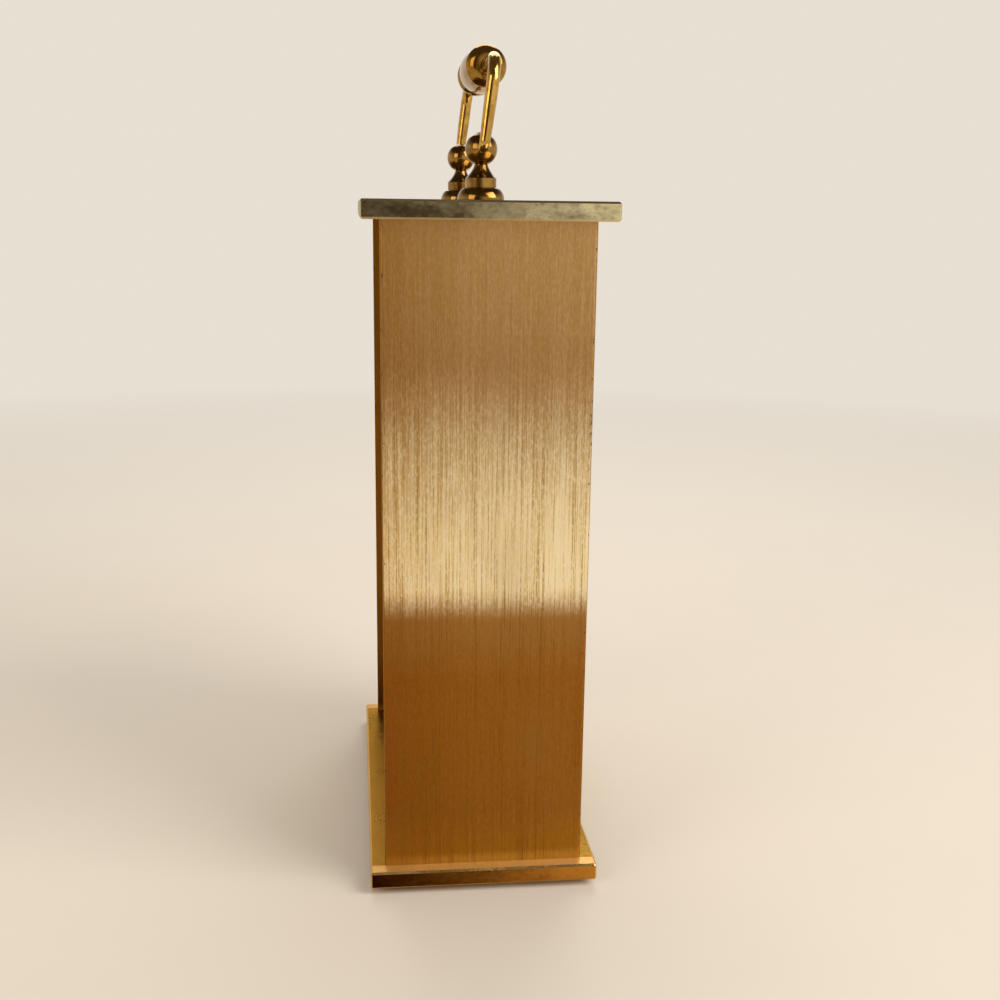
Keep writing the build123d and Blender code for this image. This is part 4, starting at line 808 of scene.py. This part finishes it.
def alarm_track(look):
    """The alarm dial's ring with a mark for every quarter of an hour, longer at the hours."""
    ring_steps = 120
    quarters = 4
    radius, depth = look.alarm_track_radius, look.ink_height
    shape = bmesh.new()
    ring(shape, alarm_hub, radius - look.alarm_ring_line, radius, depth, ring_steps)
    for step in range(HOURS * quarters):
        reach = look.alarm_hour_mark if step % quarters == 0 else look.alarm_quarter_mark
        place = on_dial(alarm_hub, step * 2 * pi / (HOURS * quarters), radius - reach)
        bar(shape, (0.0, 0.0), (0.0, reach), look.alarm_mark_line, place, depth)
    return shape


def arabic_numeral(text, height, place, depth):
    """Mesh of a plain numeral, raised above the dial."""
    font_size_by_height = 1.35
    curve = bpy.data.curves.new("numeral", "FONT")
    curve.body = text
    curve.size = height * font_size_by_height
    curve.align_x = "CENTER"
    curve.align_y = "CENTER"
    curve.extrude = depth / 2
    holder = bpy.data.objects.new("numeral", curve)
    bpy.context.scene.collection.objects.link(holder)
    mesh = bpy.data.meshes.new_from_object(holder.evaluated_get(bpy.context.evaluated_depsgraph_get()))
    bpy.data.objects.remove(holder)
    bpy.data.curves.remove(curve)
    mesh.transform(Matrix.Rotation(pi / 2, 4, "X"))
    mesh.transform(place @ Matrix.Translation((0.0, dial_face - depth / 2, 0.0)))
    return mesh


def alarm_numerals(look):
    """The alarm dial's hours, 1 to 12, all upright."""
    merge_distance = 0.0000005
    radius = look.alarm_numeral_radius
    shape = bmesh.new()
    for hour in range(1, HOURS + 1):
        turn = hour * 2 * pi / HOURS
        middle = (alarm_hub[0] + radius * sin(turn), 0.0, alarm_hub[2] + radius * cos(turn))
        mesh = arabic_numeral(
            str(hour), look.alarm_numeral_height, Matrix.Translation(middle), look.ink_height
        )
        shape.from_mesh(mesh)
        bpy.data.meshes.remove(mesh)
    bmesh.ops.remove_doubles(shape, verts=shape.verts, dist=merge_distance)
    return shape


# Studio
def pale_floor(look):
    """Pale floor that keeps the clock's shadow and fades into the background."""
    finish = Finish("pale_floor", roughness=0.75)
    finish.set("Specular IOR Level", 0.2)
    grain = finish.noise(0.03, roughness=0.5)
    finish.set("Base Color", finish.mix(grain, look.floor_tone, scaled(look.floor_tone, 0.97)))
    fade = finish.fade(finish.distance(finish.place), look.fade_start, look.fade_end)
    glow = finish.add("ShaderNodeEmission")
    finish.feed(glow.inputs["Color"], look.background_tone)
    faded = finish.math("MULTIPLY", fade, finish.seen())
    finish.show(faded, finish.shader.outputs["BSDF"], glow.outputs["Emission"], "Material Output")
    return finish.material


def add_floor(look):
    """The floor, which isn't part of the clock."""
    shape = bmesh.new()
    bmesh.ops.create_grid(shape, x_segments=4, y_segments=4, size=look.floor_reach)
    mesh = bpy.data.meshes.new("floor")
    shape.to_mesh(mesh)
    shape.free()
    mesh.materials.append(pale_floor(look))
    floor = bpy.data.objects.new("floor", mesh)
    bpy.context.scene.collection.objects.link(floor)


def light_world(look):
    """Even light, with a pale background for the camera and a plain room for the brass to mirror."""
    world = bpy.data.worlds.new("studio")
    world.use_nodes = True
    bpy.context.scene.world = world
    sky = Nodes(world.node_tree)
    even = sky.tree.nodes["Background"]
    sky.feed(even.inputs["Color"], look.even_tone)
    sky.feed(even.inputs["Strength"], look.ambient)
    direction = sky.add("ShaderNodeTexCoord").outputs["Generated"]
    window = sky.fade(sky.part(direction, "Y"), -0.24, 0.32)
    panel_side = sky.fade(sky.part(direction, "X"), -0.1, 0.75)
    ceiling = sky.fade(sky.part(direction, "Z"), 0.20, 0.62)
    walls = sky.mix(window, look.room_tone, look.window_tone)
    room = sky.mix(panel_side, look.background_tone, walls)
    mirrored = sky.mix(ceiling, room, look.zenith_tone)
    shown = sky.add("ShaderNodeBackground")
    sky.feed(shown.inputs["Color"], sky.mix(sky.ray("Is Glossy Ray"), look.background_tone, mirrored))
    sky.show(sky.seen(), even.outputs["Background"], shown.outputs["Background"], "World Output")


def add_lamp(name, colour, strength, place, size):
    """A square soft lamp aimed at the middle of the clock."""
    light = bpy.data.lights.new(name, "AREA")
    light.color = colour
    light.energy = strength
    light.size = size
    lamp = bpy.data.objects.new(name, light)
    aim = (cad_box[0] + cad_box[1]) / 2 - Vector(place)
    lamp.matrix_world = Matrix.Translation(place) @ aim.to_track_quat("-Z", "Y").to_matrix().to_4x4()
    bpy.context.scene.collection.objects.link(lamp)


def add_camera(look):
    """The camera at the photograph's viewing angle."""
    data = bpy.data.cameras.new("camera")
    data.sensor_width = 36.0
    data.lens = look.camera_lens
    data.shift_y = look.camera_shift
    data.clip_start = 0.01
    data.clip_end = 20.0
    heading, tilt, roll = look.camera_heading, look.camera_tilt, look.camera_roll
    ahead = Vector((-cos(heading) * cos(tilt), sin(heading) * cos(tilt), -sin(tilt)))
    level = Vector((sin(heading), cos(heading), 0.0))
    up = level.cross(ahead)
    right = level * cos(roll) + up * sin(roll)
    above = up * cos(roll) - level * sin(roll)
    turn = Matrix((right, above, -ahead)).transposed().to_4x4()
    camera = bpy.data.objects.new("camera", data)
    camera.matrix_world = Matrix.Translation(look.camera_place) @ turn
    bpy.context.scene.collection.objects.link(camera)
    bpy.context.scene.camera = camera


# Operators
class CLOCK_OT_side_panels(Operator):
    """Brushed brass on the two side panels"""

    bl_idname = "carriage_clock.side_panels"
    bl_label = "Side panels"

    def execute(self, context):
        dress(("side_panel_left", "side_panel_right"), brushed_panel_brass(context.scene.clock_panels))
        return {"FINISHED"}


class CLOCK_OT_plates(Operator):
    """Tarnished brass on the base plate and the top plate, and the rubber feet"""

    bl_idname = "carriage_clock.plates"
    bl_label = "Base and top plates"

    def execute(self, context):
        look = context.scene.clock_plates
        top_tones = (look.top_bright_tone, look.top_dull_tone, look.top_bevel_tone)
        top_shading_tints = (look.top_front_tint, look.top_rear_tint)
        base_tones = (look.base_bright_tone, look.base_dull_tone, look.base_bevel_tone)
        base_shading_tints = (look.base_front_tint, look.base_rear_tint)
        top = plate_brass("top_plate_brass", look, top_tones, top_shading_tints, top_face)
        base = plate_brass("base_plate_brass", look, base_tones, base_shading_tints, base_ledge)
        base.set("Specular Tint", look.grazing_tint)
        dress(("top_plate",), top.material)
        dress(("base_plate",), base.material)
        dress(("feet",), foot_rubber(look))
        return {"FINISHED"}


class CLOCK_OT_handle(Operator):
    """Polished brass on the posts, the bail and the grip"""

    bl_idname = "carriage_clock.handle"
    bl_label = "Handle"

    def execute(self, context):
        look = context.scene.clock_fittings
        nut_tone = context.scene.clock_works.nut_tone
        middle = (0.0, 0.0, 0.0)
        dress(("handle_bail",), polished_brass("bail_brass", look, look.bail_tone))
        dress(("handle_grip",), polished_brass("grip_brass", look, look.grip_tone))
        dress(("handle_posts",), polished_brass("post_brass", look, look.post_tone, look.post_crown))
        dress(("handle_post_nuts",), turned_metal("nut_steel", nut_tone, middle, pitch=0.0004, roughness=0.3))
        return {"FINISHED"}


class CLOCK_OT_front(Operator):
    """The front mask, the glass and the frame behind it"""

    bl_idname = "carriage_clock.front"
    bl_label = "Front"

    def execute(self, context):
        look = context.scene.clock_works
        brushing = (look.brush_width, look.brush_width, look.brush_length)
        grain = (0.001, 0.0003, 0.001)
        dress(("front_mask",), satin_brass("mask_brass", look.mask_tone, brushing, roughness=0.28))
        dress(("spacer_frame",), satin_brass("spacer_brass", look.spacer_tone, grain, roughness=0.3))
        dress(("glass",), window_glass(look))
        return {"FINISHED"}


class CLOCK_OT_dial(Operator):
    """The dial ground, the hour numerals, the minute track and the small alarm dial"""

    bl_idname = "carriage_clock.dial"
    bl_label = "Dial and hands"

    def execute(self, context):
        look = context.scene.clock_dial
        dress(("dial_plate",), enamel(look))
        black = ink(look)
        dress(("hour_hand", "minute_hand", "alarm_hand"), black)
        print_piece("hour_numerals", hour_numerals(look), black)
        print_piece("minute_track", minute_track(look), black)
        print_piece("alarm_track", alarm_track(look), black)
        print_piece("alarm_numerals", alarm_numerals(look), black)
        return {"FINISHED"}


class CLOCK_OT_back(Operator):
    """The back cover with its screws, keys, knobs and regulator"""

    bl_idname = "carriage_clock.back"
    bl_label = "Back"

    def execute(self, context):
        look = context.scene.clock_works
        polished = context.scene.clock_fittings.brass_tone
        brushing = (look.brush_width, look.brush_width, look.brush_length)
        dress(("back_cover",), satin_brass("cover_brass", look.cover_tone, brushing, roughness=0.32))
        knobs = ["hand_set_knob", "alarm_set_knob", "alarm_stop_button"]
        keys = ["time_winding_key", "alarm_winding_key"]
        for knob in knobs + keys:
            brass = turned_metal(knob + "_brass", polished, node_middle(knob), pitch=0.0007, roughness=0.17)
            dress((knob,), brass)
        steel = turned_metal("turned_steel", look.screw_tone, hub, pitch=0.0004, roughness=0.28)
        dress(("back_cover_screws", "case_screws", "movement_screws", "regulator_lever"), steel)
        return {"FINISHED"}


class CLOCK_OT_movement(Operator):
    """Brass, steel and blued springs of the movement"""

    bl_idname = "carriage_clock.movement"
    bl_label = "Movement"

    def execute(self, context):
        look = context.scene.clock_works
        grain = (0.002, 0.002, 0.0004)
        brass = satin_brass("movement_brass", look.plate_tone, grain, roughness=0.3)
        wheels = turned_metal("wheel_brass", look.wheel_tone, hub, pitch=0.0005, roughness=0.24)
        steel = turned_metal("arbor_steel", look.arbor_tone, hub, pitch=0.0003, roughness=0.2)
        blued = turned_metal("blued_steel", look.spring_tone, balance_hub, pitch=0.0006, roughness=0.25)
        bell = turned_metal("bell_steel", look.bell_tone, bell_corner, pitch=0.0007, roughness=0.18)
        plate_names = ["movement_front_plate", "movement_rear_plate"]
        plate_names += ["movement_pillars", "rear_spacers", "case_pillars"]
        wheel_names = [name for name in nodes if name.endswith("_wheel") and "ratchet" not in name]
        wheel_names += ["time_barrel", "alarm_barrel", "alarm_idler", "cannon_pinion"]
        steel_names = ["centre_arbor", "alarm_arbor", "time_barrel_arbor", "alarm_barrel_arbor"]
        steel_names += ["time_ratchet_wheel", "alarm_ratchet_wheel", "time_click", "alarm_click"]
        steel_names += ["pallet_lever", "alarm_hammer", "bell_post"]
        dress(plate_names, brass)
        dress(wheel_names, wheels)
        dress(steel_names, steel)
        dress(("time_mainspring", "alarm_mainspring", "hairspring"), blued)
        dress(("bell",), bell)
        return {"FINISHED"}


class CLOCK_OT_stage(Operator):
    """The floor, the background, the lamps and the camera"""

    bl_idname = "carriage_clock.stage"
    bl_label = "Studio"

    def execute(self, context):
        look = context.scene.clock_stage
        add_floor(look)
        light_world(look)
        add_lamp("window_lamp", look.lamp_tone, look.lamp_power, look.lamp_place, look.lamp_size)
        add_lamp("room_lamp", look.fill_tone, look.fill_power, look.fill_place, look.fill_size)
        add_lamp("rear_lamp", look.lamp_tone, look.rear_power, look.rear_place, look.rear_size)
        add_camera(look)
        context.scene.view_settings.view_transform = "Standard"
        return {"FINISHED"}


LOOKS = {
    "clock_panels": PanelLook,
    "clock_plates": PlateLook,
    "clock_fittings": FittingLook,
    "clock_works": WorksLook,
    "clock_dial": DialLook,
    "clock_stage": StageLook,
}
OPERATORS = (
    CLOCK_OT_side_panels,
    CLOCK_OT_plates,
    CLOCK_OT_handle,
    CLOCK_OT_front,
    CLOCK_OT_dial,
    CLOCK_OT_back,
    CLOCK_OT_movement,
    CLOCK_OT_stage,
)


class CLOCK_PT_sidebar(Panel):
    """Lists the clock's pieces, its studio and their settings"""

    bl_idname = "CLOCK_PT_sidebar"
    bl_label = "Carriage clock"
    bl_space_type = "VIEW_3D"
    bl_region_type = "UI"
    bl_category = "Clock"

    def draw(self, context):
        for operator in OPERATORS:
            self.layout.operator(operator.bl_idname)
        for settings in LOOKS:
            box = self.layout.box()
            group = getattr(context.scene, settings)
            for name in group.__annotations__:
                box.prop(group, name)


def register():
    """Registers the settings, the operators and the sidebar."""
    for name, group in LOOKS.items():
        bpy.utils.register_class(group)
        setattr(bpy.types.Scene, name, PointerProperty(type=group))
    for operator in OPERATORS:
        bpy.utils.register_class(operator)
    bpy.utils.register_class(CLOCK_PT_sidebar)


def unregister():
    """Removes what register added."""
    bpy.utils.unregister_class(CLOCK_PT_sidebar)
    for operator in reversed(OPERATORS):
        bpy.utils.unregister_class(operator)
    for name, group in LOOKS.items():
        delattr(bpy.types.Scene, name)
        bpy.utils.unregister_class(group)


def main():
    """Builds the looks round the CAD frame."""
    register()
    bpy.ops.carriage_clock.side_panels()
    bpy.ops.carriage_clock.plates()
    bpy.ops.carriage_clock.handle()
    bpy.ops.carriage_clock.front()
    bpy.ops.carriage_clock.dial()
    bpy.ops.carriage_clock.back()
    bpy.ops.carriage_clock.movement()
    bpy.ops.carriage_clock.stage()


if __name__ == "__main__":
    main()
